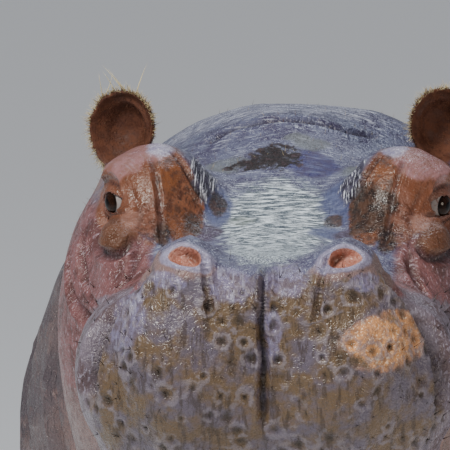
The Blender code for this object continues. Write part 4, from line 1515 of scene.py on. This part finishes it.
@dataclass(frozen=True)
class HideFinish:
    """Wet hide in all its regions, with light and shade painted into some of them."""

    base: Region = Region("", (0.125, 0.095, 0.10), (0.085, 0.068, 0.080), (0.18, 0.125, 0.12), BROAD, MIDDLE,
                          spots=0.5)
    # painted shade along the creases and the line of the mouth
    crease: Colour = (0.020, 0.013, 0.016)
    pit: Colour = (0.034, 0.024, 0.016)
    wet: float = 0.17
    drier: float = 0.26
    matt: float = 0.45
    specular: float = 0.36
    relief_strength: float = 0.75
    relief_depth: float = 0.0020

    def make(self, groups: Groups) -> bpy.types.Material:
        """Makes the material.

        Args:
            groups: the shared effects.

        Returns:
            The material.
        """
        bench = MaterialBench("hide")
        patterns = self.patterns(bench)
        colour, masks = self.mottled(bench, groups, patterns, self.base), {}
        for region in HIDE_REGIONS:
            inputs = {"Mask": bench.attribute(region.mark), "Pattern": patterns[region.edge],
                      "Amount": region.ragged, "Strength": region.strength}
            masks[region.mark] = bench.group(groups.ragged, inputs)
            colour = bench.mix(masks[region.mark], colour, self.mottled(bench, groups, patterns, region))
        # painted shade in the creases
        colour = bench.mix(bench.product(bench.attribute("crease"), 0.92), colour, self.crease)
        colour = bench.mix(bench.product(bench.step(bench.attribute("pit"), 0.20, 0.85), 0.85), colour, self.pit)
        return bench.finished({"Base Color": colour, "Roughness": self.gloss(bench, patterns, masks),
                               "Normal": self.bumps(bench, groups, patterns, masks),
                               "Specular IOR Level": self.specular})

    @staticmethod
    def patterns(bench: MaterialBench) -> Patterns:
        """Makes every random pattern once.

        Args:
            bench: the material's bench.

        Returns:
            The patterns' outputs.
        """
        made = {}
        for pattern in Pattern:
            follows, scales = pattern.value
            start = bench.attribute(follows, "Vector") if follows else bench.place
            made[pattern] = bench.noise(bench.vectors("MULTIPLY", start, scales), 1.0, 3.0, 0.62)
        return made

    @staticmethod
    def mottled(bench: Bench, groups: Groups, patterns: Patterns, region: Region) -> Socket:
        """One region's colour."""
        inputs = {"Large": patterns[region.large], "Small": patterns[region.small], "Ground": region.ground,
                  "Blotch": region.blotch, "Spot": region.spot, "Spots": region.spots, "Rarity": region.rarity}
        return bench.group(groups.mottle, inputs)

    def gloss(self, bench: Bench, patterns: Patterns, masks: dict[str, Socket]) -> Socket:
        """The roughness: wet, in patches drier, and matt on the ears and the dark markings.

        Args:
            bench: the material's bench.
            patterns: the random patterns.
            masks: where each region is.

        Returns:
            The roughness.
        """
        dull = [bench.product(masks[mark], 0.8) for mark in ("speckled", "violet", "blue", "green")]
        dry = bench.greatest(bench.attribute("ear"), bench.product(bench.attribute("belly"), 0.6), *dull)
        patches = bench.step(patterns[SMALL], 0.35, 0.65)
        return bench.total(self.wet, bench.product(patches, self.drier), bench.product(dry, self.matt))

    def bumps(self, bench: MaterialBench, groups: Groups, patterns: Patterns, masks: dict[str, Socket]) -> Socket:
        """The normal: fine cracks and grain all over, and lines that follow the forms of the head.

        Args:
            bench: the material's bench.
            groups: the shared effects.
            patterns: the random patterns.
            masks: where each region is.

        Returns:
            The normal.
        """
        body = bench.math("SUBTRACT", 1.0, bench.attribute("head"))
        smooth = bench.greatest(bench.attribute("ear"), bench.product(bench.attribute("mound"), 0.6))
        hide = bench.math("SUBTRACT", 1.0, smooth)
        inputs = {"Vector": bench.place, "Grain": 0.45,
                  "Cracks": bench.product(bench.total(0.25, bench.product(body, 0.35)), hide),
                  "Wrinkles": bench.product(bench.total(0.25, body), hide)}
        height = bench.group(groups.relief, inputs)
        lines = ((ARCS, ("top", "dish", "cheek"), 0.9), (FALLS, ("streaked", "muzzle", "flank"), 0.6),
                 (RINGS, ("mound", "bag"), 0.6))
        for pattern, marks, share in lines:
            where = bench.greatest(*(masks[mark] for mark in marks))
            height = bench.total(height, bench.product(patterns[pattern], where, share))
        inputs = {"Strength": self.relief_strength, "Distance": self.relief_depth, "Height": height}
        return bench.add("ShaderNodeBump", inputs).outputs[0]


@dataclass(frozen=True)
class EyeFinish:
    """A wet brown eye, coloured by the angle from where it looks: 0 there, and 1 a right angle away."""

    pupil: Colour = (0.002, 0.0015, 0.0015)
    iris: Colour = (0.032, 0.012, 0.006)
    iris_edge: Colour = (0.006, 0.003, 0.002)
    white: Colour = (0.31, 0.285, 0.28)
    veined: Colour = (0.20, 0.11, 0.09)
    pupil_bounds: tuple[float, float] = (0.125, 0.150)
    darker_bounds: tuple[float, float] = (0.33, 0.43)
    iris_bounds: tuple[float, float] = (0.425, 0.460)
    veined_bounds: tuple[float, float] = (0.62, 0.85)

    def make(self) -> bpy.types.Material:
        """Makes the material.

        Returns:
            The material.
        """
        bench = MaterialBench("eye")
        gaze = bench.attribute("gaze")
        iris = bench.mix(bench.step(bench.noise(bench.place, 900.0, 2.0), 0.35, 0.7), self.iris_edge, self.iris)
        iris = bench.mix(bench.step(gaze, *self.darker_bounds), iris, self.iris_edge)
        colour = bench.mix(bench.step(gaze, *self.pupil_bounds), self.pupil, iris)
        veins = bench.step(bench.noise(bench.place, 260.0, 4.0), 0.5, 0.7)
        white = bench.mix(veins, self.white, self.veined)
        white = bench.mix(bench.step(gaze, *self.veined_bounds), white, self.veined)
        colour = bench.mix(bench.step(gaze, *self.iris_bounds), colour, white)
        return bench.finished({"Base Color": colour, "Roughness": 0.05, "Specular IOR Level": 0.16})


@dataclass(frozen=True)
class HornFinish:
    """Worn grey-brown nail."""

    ground: Colour = (0.14, 0.105, 0.085)
    worn: Colour = (0.27, 0.22, 0.18)
    dark: Colour = (0.06, 0.045, 0.04)
    stretch: tuple[float, float, float] = (1.0, 1.0, 0.18)  # of the pattern, down the nail

    def make(self, groups: Groups) -> bpy.types.Material:
        """Makes the material.

        Args:
            groups: the shared effects.

        Returns:
            The material.
        """
        bench = MaterialBench("horn")
        stretched = bench.add("ShaderNodeMapping", {"Vector": bench.place, "Scale": self.stretch}).outputs[0]
        inputs = {"Large": bench.noise(stretched, 120.0), "Small": bench.noise(stretched, 300.0),
                  "Ground": self.ground, "Blotch": self.dark, "Spot": self.worn, "Spots": 0.5, "Rarity": 0.54}
        ridges = bench.noise(stretched, 380.0)
        bump = bench.add("ShaderNodeBump", {"Strength": 0.4, "Distance": 0.0008, "Height": ridges}).outputs[0]
        return bench.finished({"Base Color": bench.group(groups.mottle, inputs), "Normal": bump,
                               "Roughness": bench.total(0.34, bench.product(ridges, 0.25))})


@dataclass(frozen=True)
class StrandFinish:
    """Hair, from dark to pale by the strand's own tone, paler towards its tip."""

    dark: Colour = (0.018, 0.013, 0.011)
    brown: Colour = (0.16, 0.065, 0.030)
    pale: Colour = (0.64, 0.56, 0.34)

    def make(self) -> bpy.types.Material:
        """Makes the material.

        Returns:
            The material.
        """
        bench = MaterialBench("strand")
        height = bench.add("ShaderNodeSeparateXYZ", {0: bench.attribute("strand", "Vector")}).outputs[2]
        worn = bench.product(bench.math("SUBTRACT", height, 0.5), 0.25)
        patchy = bench.product(bench.math("SUBTRACT", bench.noise(bench.place, 400.0), 0.5), 0.2)
        tone = bench.total(bench.attribute("tone"), worn, patchy)
        colour = bench.mix(bench.step(tone, 0.12, 0.40), self.dark, self.brown)
        colour = bench.mix(bench.step(tone, 0.45, 0.80), colour, self.pale)
        return bench.finished({"Base Color": colour, "Roughness": 0.45})


@dataclass(frozen=True)
class FloorFinish:
    """Pale, plain and nearly even."""

    pale: Colour = (0.88, 0.89, 0.90)
    paler: Colour = (0.91, 0.92, 0.93)
    glow: float = 0.20

    def make(self) -> bpy.types.Material:
        """Makes the material."""
        bench = MaterialBench("floor")
        colour = bench.mix(bench.noise(bench.place, 0.8, 4.0), self.pale, self.paler)
        return bench.finished({"Base Color": colour, "Roughness": 0.75, "Emission Color": self.pale,
                               "Emission Strength": self.glow})


@dataclass
class Eye:
    """One eyeball with its bulging cornea."""

    side: int
    middle: Array
    radius: float
    head: Frame
    outward: float = math.radians(59)
    rings: int = 40
    spokes: int = 64
    iris: float = math.radians(36)  # half the iris's angle, seen from the ball's middle
    bulge: float = 0.0016
    inset: float = 0.0004
    forward: float = 0.0020  # how far it sits out of its socket

    def build(self, name: str) -> bpy.types.Object:
        """Makes the ball round the direction of its look.

        Args:
            name: the piece's name.

        Returns:
            The piece.
        """
        aim = self.head.turned((self.side * math.sin(self.outward), math.cos(self.outward), 0.0))
        turn = Vector(aim).to_track_quat("Z", "Y").to_matrix().to_4x4()
        shape = bmesh.new()
        bmesh.ops.create_uvsphere(shape, u_segments=self.spokes, v_segments=self.rings, radius=1)
        angles = []
        for vertex in shape.verts:
            angle = math.acos(max(-1.0, min(1.0, vertex.co.z)))
            swell = self.bulge * max(0.0, 1 - (angle / (1.15 * self.iris)) ** 2)
            vertex.co *= self.radius - self.inset + swell
            angles.append(angle / (math.pi / 2))
        shape.transform(Matrix.Translation(Vector(self.middle + aim * self.forward)) @ turn)
        mesh = mesh_of(shape, name)
        keep(mesh, "gaze", np.array(angles))
        return link(mesh, name)


# ---------------------------------------------------------------------------------------------
# The coat


class Part(IntEnum):
    """The parts of the animal that the map draws apart. The other legs follow the first."""

    TRUNK = 0
    HEAD = 1
    RIGHT_EAR = 2
    LEFT_EAR = 3
    FIRST_LEG = 4
    TAIL = 8
    MUZZLE = 9


@dataclass(frozen=True)
class Unwrap:
    """The skin laid flat in charts, one for each part of the animal and each way that it faces."""

    margin: float = 0.004
    head_scale: float = 2.4
    ear_scale: float = 2.8

    def parts(self, skin: Skin, points: Array) -> tuple[Array, Array]:
        """Parts the animal.

        Args:
            skin: the skin's maker, which knows the head and the ears.
            points: the points to part.

        Returns:
            Which part each point belongs to, and how large each part is drawn.
        """
        measured = skin.measured(points)
        part = np.where(points[:, 2] < 0.55, Part.FIRST_LEG + 2 * (points[:, 0] > 0) + (points[:, 1] > 0.3),
                        Part.TRUNK)
        part = np.where(points[:, 1] > 1.27, Part.TAIL, part)
        part = np.where(within("shaped head", measured) > 0.5, Part.HEAD, part)
        part = np.where((part == Part.HEAD) & (measured[AHEAD] > 0.24), Part.MUZZLE, part)
        part = np.where(skin.ear_share(points) > 0.5, Part.RIGHT_EAR + (points[:, 0] > 0.2), part)
        scale = np.ones(10)
        scale[[Part.HEAD, Part.MUZZLE]], scale[[Part.RIGHT_EAR, Part.LEFT_EAR]] = self.head_scale, self.ear_scale
        return part, scale

    def lay(self, skin: Skin, mesh: bpy.types.Mesh) -> Array:
        """Gives the mesh its map.

        Args:
            skin: the skin's maker.
            mesh: the skin.

        Returns:
            The place on the map of each of the mesh's points.
        """
        points, normals = read(mesh.vertices, "co", 3), read(mesh.polygons, "normal", 3)
        owner = read(mesh.loops, "vertex_index", 1, np.int32)
        sizes = read(mesh.polygons, "loop_total", 1, np.int32)
        face = np.repeat(np.arange(len(sizes)), sizes)
        middles = np.stack([np.bincount(face, points[owner, i]) for i in range(3)], 1) / sizes[:, None]
        part, scale = self.parts(skin, middles)
        on_head = np.isin(part, (Part.HEAD, Part.RIGHT_EAR, Part.LEFT_EAR, Part.MUZZLE))[:, None]
        turned = np.where(on_head, normals @ skin.head.axes.T, normals)
        facing = np.abs(turned).argmax(1)
        sign = np.take_along_axis(turned, facing[:, None], 1)[:, 0] > 0
        names, chart = np.unique((part * 6 + facing * 2 + sign)[face], return_inverse=True)
        spots = np.where(on_head[face], skin.head.local(points[owner]), points[owner])
        flat = np.array([(1, 2), (0, 2), (0, 1)])[facing[face]]
        uv = np.take_along_axis(spots, flat, 1) * scale[part[face]][:, None]
        low = np.array([uv[chart == number].min(0) for number in range(len(names))])
        span = np.array([uv[chart == number].max(0) for number in range(len(names))]) - low
        corner, size = self.packed(span)
        uv = (uv - low[chart]) * size + corner[chart]
        keep_map(mesh, uv)
        at_point = np.zeros((len(points), 2))
        at_point[owner] = uv
        return at_point

    def packed(self, span: Array) -> tuple[Array, float]:
        """Puts the charts in rows on the unit square.

        Args:
            span: each chart's width and height.

        Returns:
            Their corners, and the scale at which they all fit.
        """
        order = np.argsort(-span[:, 1])
        size = 1 / math.sqrt((span[:, 0] * span[:, 1]).sum())
        while True:
            corner, x, y, row = np.zeros_like(span), self.margin, self.margin, 0.0
            for index in order:
                wide, high = span[index] * size
                if x + wide + self.margin > 1:
                    x, y, row = self.margin, y + row + self.margin, 0.0
                corner[index] = x, y
                x, row = x + wide + self.margin, max(row, high)
            if y + row + self.margin <= 1 and (span[:, 0] * size + 2 * self.margin).max() <= 1:
                return corner, size
            size *= 0.98


def strand_tree() -> bpy.types.NodeTree:
    """Geometry Nodes that stand a bent, tapering strand on every root.

    Returns:
        The node tree, whose inputs are the roots, the bend, the variation of length, the seed and the material.
    """
    tree = bpy.data.node_groups.new("strands", "GeometryNodeTree")
    for name, kind in (("Roots", "NodeSocketGeometry"), ("Bend", FLOAT), ("Variation", FLOAT),
                       ("Seed", "NodeSocketInt"), ("Material", "NodeSocketMaterial")):
        tree.interface.new_socket(name, in_out="INPUT", socket_type=kind)
    tree.interface.new_socket("Strands", in_out="OUTPUT", socket_type="NodeSocketGeometry")
    bench = Bench(tree)
    given, out = tree.nodes.new("NodeGroupInput").outputs, tree.nodes.new("NodeGroupOutput").inputs

    def stored(name: str, kind: str) -> Socket:
        """A value kept at the roots."""
        return bench.add("GeometryNodeInputNamedAttribute", {"Name": name}, data_type=kind).outputs["Attribute"]

    def random(low: object, high: object) -> Socket:
        """A random number for each root."""
        inputs = {2: low, 3: high, "Seed": given["Seed"]}
        return bench.add("FunctionNodeRandomValue", inputs, data_type="FLOAT").outputs[1]

    cone = bench.add("GeometryNodeMeshCone", {"Vertices": 3, "Side Segments": 3, "Radius Top": 0.0,
                                              "Radius Bottom": 1.0, "Depth": 1.0})
    place = bench.add("GeometryNodeInputPosition").outputs[0]
    height = bench.add("ShaderNodeSeparateXYZ", {0: place}).outputs[2]
    offset = bench.add("ShaderNodeCombineXYZ", {0: bench.product(height, height, given["Bend"])}).outputs[0]
    marked = bench.add("GeometryNodeStoreNamedAttribute", {"Geometry": cone.outputs["Mesh"], "Name": "strand",
                                                           "Value": place}, data_type="FLOAT_VECTOR").outputs[0]
    bent = bench.add("GeometryNodeSetPosition", {"Geometry": marked, "Offset": offset}).outputs[0]
    leaning = bench.add("FunctionNodeAlignRotationToVector", {"Vector": stored("aim", "FLOAT_VECTOR")}, axis="Z")
    spin = bench.add("FunctionNodeAxisAngleToRotation", {"Axis": (0.0, 0.0, 1.0), "Angle": random(0.0, math.tau)})
    inputs = {"Rotation": leaning.outputs[0], "Rotate By": spin.outputs[0]}
    turn = bench.add("FunctionNodeRotateRotation", inputs, rotation_space="LOCAL").outputs[0]
    grown = random(bench.math("SUBTRACT", 1.0, given["Variation"]), bench.total(1.0, given["Variation"]))
    girth, reach = stored("girth", "FLOAT"), bench.product(stored("reach", "FLOAT"), grown)
    scale = bench.add("ShaderNodeCombineXYZ", {0: girth, 1: girth, 2: reach}).outputs[0]
    inputs = {"Points": given["Roots"], "Instance": bent, "Rotation": turn, "Scale": scale}
    stood = bench.add("GeometryNodeInstanceOnPoints", inputs).outputs[0]
    solid = bench.add("GeometryNodeRealizeInstances", {"Geometry": stood}).outputs[0]
    dressed = bench.add("GeometryNodeSetMaterial", {"Geometry": solid, "Material": given["Material"]})
    bench.feed(out["Strands"], dressed.outputs[0])
    return tree


@dataclass(frozen=True)
class Strand:
    """One kind of hair."""

    reach: tuple[float, float]  # least and greatest length
    girth: float  # radius at the root
    tone: tuple[float, float]  # from 0, dark, to 1, pale
    stray: float  # how far its direction strays


BRISTLE = Strand((0.006, 0.019), 0.00052, (0.0, 0.25), 0.30)
FRINGE = Strand((0.004, 0.0125), 0.00044, (0.50, 1.0), 0.30)
FUZZ = Strand((0.002, 0.0050), 0.00026, (0.12, 0.5), 0.35)
WISP = Strand((0.020, 0.036), 0.00095, (0.95, 1.0), 0.45)
CROWN_HAIR = Strand((0.004, 0.009), 0.00024, (0.1, 0.8), 0.3)
TAIL_BRISTLE = Strand((0.018, 0.045), 0.00055, (0.0, 0.3), 0.18)


@dataclass
class Roots:
    """Where strands stand, which way, and how large they are."""

    places: Array
    aim: Array
    reach: Array
    girth: Array
    tone: Array
    root_uv: Array

    @classmethod
    def joined(cls, several: list["Roots"]) -> "Roots":
        """All of them as one."""
        return cls(*(np.concatenate([getattr(one, item.name) for one in several]) for item in fields(cls)))

    def mesh(self, name: str) -> bpy.types.Mesh:
        """The roots as loose points that keep their values.

        Args:
            name: the mesh's name.

        Returns:
            The mesh.
        """
        mesh = bpy.data.meshes.new(name)
        mesh.from_pydata(self.places.tolist(), [], [])
        for item in fields(self)[1:]:
            keep(mesh, item.name, getattr(self, item.name))
        return mesh


@dataclass
class Coat:
    """The strands that grow on the skin."""

    skin: Skin
    mesh: bpy.types.Mesh
    uv: Array  # the place on the map of each of the skin's points
    finish: bpy.types.Material
    patch: float = 0.003  # size of a strand's patch on the map
    rooted_by: float = 0.0006  # how far a strand starts inside the skin
    variation: float = 0.25

    def __post_init__(self) -> None:
        """Reads the skin's points."""
        surface = Surface(self.mesh)
        self.points, self.normals = surface.points, surface.normals()
        self.places = self.skin.head.local(self.points)
        self.ear = self.skin.ear_share(self.points)
        self.rng = np.random.default_rng(SEED)
        self.tree = strand_tree()

    def chosen(self, allowed: Array, count: int, gap: float = 0.0) -> Array:
        """Chooses random points of the skin.

        Args:
            allowed: which may be chosen.
            count: how many are wanted.
            gap: the least distance between two.

        Returns:
            Their numbers.
        """
        order = self.rng.permutation(np.flatnonzero(allowed))
        if not gap:
            return order[:count]
        kept: list[int] = []
        for index in order:
            if not kept or lengths(self.points[kept] - self.points[index]).min() > gap:
                kept.append(int(index))
            if len(kept) == count:
                break
        return np.array(kept)

    def rooted(self, index: Array, aims: Array, strand: Strand) -> Roots:
        """Roots strands at points of the skin.

        Args:
            index: the points' numbers.
            aims: which way each strand would point if it didn't stray.
            strand: their kind.

        Returns:
            The roots.
        """
        count = len(index)
        aims = aimed(aimed(aims) + strand.stray * self.rng.normal(0, 1, aims.shape))
        flat = np.column_stack([self.uv[index], np.zeros(count)])
        return Roots(self.points[index] - self.rooted_by * self.normals[index], aims,
                     self.rng.uniform(*strand.reach, count), np.full(count, strand.girth),
                     self.rng.uniform(*strand.tone, count), flat)

    def muzzle(self) -> Roots:
        """Stiff dark bristles in ones and twos, mostly out of the pits.

        Returns:
            The roots.
        """
        tree = tree_of(self.points)
        pits = np.array([tree.find(place)[1] for place in self.skin.pits])
        pits = pits[self.rng.random(len(pits)) < np.where(self.places[pits, 2] > -0.07, 0.30, 0.25)]
        sideways, ahead, up = np.abs(self.places[:, 0]), self.places[:, 1], self.places[:, 2]
        flat = (ahead > 0.30) & (up > -0.03) & (up < 0.012) & (sideways > 0.015) & (sideways < 0.16)
        lip = (ahead > 0.05) & (up < -0.05) & (up > -0.20) & (sideways > 0.14)
        index = np.concatenate([pits, self.chosen(flat, 22, 0.012), self.chosen(lip, 90, 0.014)])
        index = np.repeat(index, self.rng.integers(1, 3, len(index)))
        rise = np.array((0, 0.15, 0.75)) @ self.skin.head.axes
        return self.rooted(index, self.normals[index] + rise, BRISTLE)

    def ears(self) -> Roots:
        """A pale fringe round each ear, short fuzz in it, and a few long strands on the right one.

        Returns:
            The roots.
        """
        found = []
        for side, _ in SIDES:
            frame = self.skin.ear_frame(side)
            x, y, _ = frame.local(self.points).T
            around = np.hypot(x / self.skin.ear_half[0], y / self.skin.ear_half[1])
            mine = (self.ear > 0.4) & (np.hypot(x, y) < 0.06) & (y > -0.036)
            out = np.stack([x, y, 0 * x], 1) @ frame.axes
            rim = mine & (around > 0.88)
            index = self.chosen(rim, 900)
            found.append(self.rooted(index, out[index] / 0.045 + 0.35 * frame.axes[2], FRINGE))
            index = self.chosen(mine & (around > 0.30), 2400)
            found.append(self.rooted(index, self.normals[index] + out[index] / 0.03, FUZZ))
            if side < 0:
                index = self.chosen(rim & (y > 0.030) & (np.abs(x) < 0.022), 8)
                found.append(self.rooted(index, out[index] / 0.045 + (0, 0, 1.6), WISP))
        return Roots.joined(found)

    def crown(self) -> Roots:
        """Sparse short hairs on the crown, nape and brows.

        Returns:
            The roots.
        """
        _, ahead, up = self.places.T
        facing = self.normals @ self.skin.head.axes[2]
        crown = (ahead < -0.08) & (ahead > -0.62) & (up > -0.10) & (facing > 0.1)
        index = self.chosen(crown & (self.ear < 0.1), 260, 0.009)
        back = np.array((0, -0.7, 0.2)) @ self.skin.head.axes
        return self.rooted(index, self.normals[index] + back, CROWN_HAIR)

    def tail(self) -> Roots:
        """Coarse bristles round the tail's tip.

        Returns:
            The roots.
        """
        _, y, z = self.points.T
        index = self.chosen((y > 1.27) & (z < z[y > 1.27].min() + 0.13), 420)
        return self.rooted(index, 0.8 * self.normals[index] * (1.5, 0.5, 0.4) + (0, 0.25, -1.3), TAIL_BRISTLE)

    def grown(self, name: str, roots: Roots, bend: float) -> bpy.types.Object:
        """Makes one piece of the coat as a plain mesh with its map.

        Args:
            name: the piece's name.
            roots: where its strands stand.
            bend: how far a strand's tip sways, in radii of its root.

        Returns:
            The piece.
        """
        piece = link(roots.mesh(name), name)
        modifier = piece.modifiers.new("strands", "NODES")
        modifier.node_group = self.tree
        values = {"Bend": bend, "Variation": self.variation, "Seed": SEED, "Material": self.finish}
        for item in self.tree.interface.items_tree:
            if item.name in values:
                modifier[item.identifier] = values[item.name]
        bake_modifiers(piece)
        piece.data.materials.clear()
        piece.data.materials.append(self.finish)
        piece.data.polygons.foreach_set("material_index", np.zeros(len(piece.data.polygons), np.int32))
        self.map_strands(piece.data)
        return piece

    def map_strands(self, mesh: bpy.types.Mesh) -> None:
        """Gives each strand a small patch of the map at its root's place.

        Args:
            mesh: the strands.
        """
        root, strand = (read(mesh.attributes[name].data, "vector", 3) for name in ("root_uv", "strand"))
        x, y, z = strand.T
        spread = np.stack([np.arctan2(y, x) / math.tau, z - 0.5], 1)
        uv = root[:, :2] + self.patch * spread
        keep_map(mesh, np.clip(uv[read(mesh.loops, "vertex_index", 1, np.int32)], 0, 1))


@dataclass(frozen=True)
class SoftBox:
    """A round soft light that points at the head."""

    name: str
    place: Point  # in the head's frame, in metres
    size: float
    power: float
    colour: Colour

    def light(self, head: Frame) -> None:
        """Puts it into the scene.

        Args:
            head: the head's frame.
        """
        data = bpy.data.lights.new(self.name, "AREA")
        data.shape, data.size, data.energy, data.color = "DISK", self.size, self.power, self.colour
        light = link(data, self.name)
        light.location = Vector(head.world(self.place))
        light.rotation_euler = (Vector(head.origin) - light.location).to_track_quat("-Z", "Y").to_euler()


@dataclass
class Studio:
    """Floor, lights and camera."""

    floor_radius: float = 40.0
    room: Colour = (0.80, 0.87, 1.0)
    room_glow: float = 0.22
    view_turn: float = math.radians(32.5)  # where the camera stands, round from straight ahead of the body
    view_rise: float = math.radians(13)
    distance: float = 10.0
    framed: float = 0.495  # width of the view at the eyes
    aside: float = -0.05775  # from the middle of the eyes to the middle of the view
    below: float = -0.0242
    sensor: float = 36.0
    boxes: tuple[SoftBox, ...] = (
        SoftBox("key", (-1.8, 1.9, 3.0), 1.2, 225, (1.0, 0.95, 0.88)),
        SoftBox("top", (0.4, -3.0, 2.6), 1.4, 40, (0.80, 0.88, 1.0)),
        SoftBox("fill", (3.2, 2.2, 0.9), 1.4, 60, (1.0, 0.86, 0.72)),
    )

    def camera(self, head: Frame) -> None:
        """Puts in the camera, level with the view at the head.

        Args:
            head: the head's frame.
        """
        a, e = self.view_turn, self.view_rise
        right = np.array((math.cos(a), math.sin(a), 0))
        back = np.array((math.sin(a) * math.cos(e), -math.cos(a) * math.cos(e), math.sin(e)))
        up = np.cross(back, right)
        data = bpy.data.cameras.new("camera")
        data.sensor_width, data.lens, data.clip_end = self.sensor, self.sensor * self.distance / self.framed, 200
        place = head.origin + right * self.aside + up * self.below + back * self.distance
        turn = Matrix(np.stack([right, up, back], 1).tolist()).to_4x4()
        bpy.context.scene.camera = link(data, "camera")
        bpy.context.scene.camera.matrix_world = Matrix.Translation(Vector(place)) @ turn

    def lights(self, head: Frame) -> None:
        """Puts soft boxes round the head, in a pale room.

        Args:
            head: the head's frame.
        """
        world = bpy.data.worlds.new("room")
        world.use_nodes = True
        background = world.node_tree.nodes["Background"]
        background.inputs["Color"].default_value = (*self.room, 1)
        background.inputs["Strength"].default_value = self.room_glow
        bpy.context.scene.world = world
        for box in self.boxes:
            box.light(head)

    def floor(self) -> None:
        """Lays a wide pale floor."""
        shape = bmesh.new()
        bmesh.ops.create_circle(shape, cap_ends=True, segments=96, radius=self.floor_radius)
        floor = link(mesh_of(shape, "floor"), "floor")
        floor.data.materials.append(FloorFinish().make())


def wear(piece: bpy.types.Object) -> None:
    """Puts a piece on the body, and reports it.

    Args:
        piece: the piece.
    """
    piece.data.shade_smooth()
    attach(piece, "root")
    LOG.info("%s: %d faces", piece.name, len(piece.data.polygons))


def main() -> None:
    """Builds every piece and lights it."""
    logging.basicConfig(level=logging.INFO, format="%(message)s")
    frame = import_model()
    maker, groups = Skin(frame["nodes"]), Groups()
    skin = maker.build()
    flat = Unwrap().lay(maker, skin.data)
    skin.data.materials.append(HideFinish().make(groups))
    wear(skin)
    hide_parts(*maker.flesh())
    eye_finish = EyeFinish().make()
    for (side, name), middle in zip(SIDES, (maker.eyes.left, maker.eyes.right)):
        ball = Eye(side, middle, maker.eyes.radius, maker.head).build(f"eyeball_{name}")
        ball.data.materials.append(eye_finish)
        wear(ball)
        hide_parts(f"eye_{name}")
    coat = Coat(maker, skin.data, flat, StrandFinish().make())
    wear(coat.grown("muzzle_bristles", coat.muzzle(), 4.0))
    wear(coat.grown("ear_hair", coat.ears(), 5.0))
    wear(coat.grown("crown_hair", coat.crown(), 6.0))
    wear(coat.grown("tail_bristles", coat.tail(), 8.0))
    horn = HornFinish().make(groups)
    for name, node in frame["nodes"].items():
        if name.startswith("nail"):
            node.data.materials.clear()
            node.data.materials.append(horn)
    studio = Studio()
    studio.floor()
    studio.lights(maker.head)
    studio.camera(maker.head)


if __name__ == "__main__":
    main()
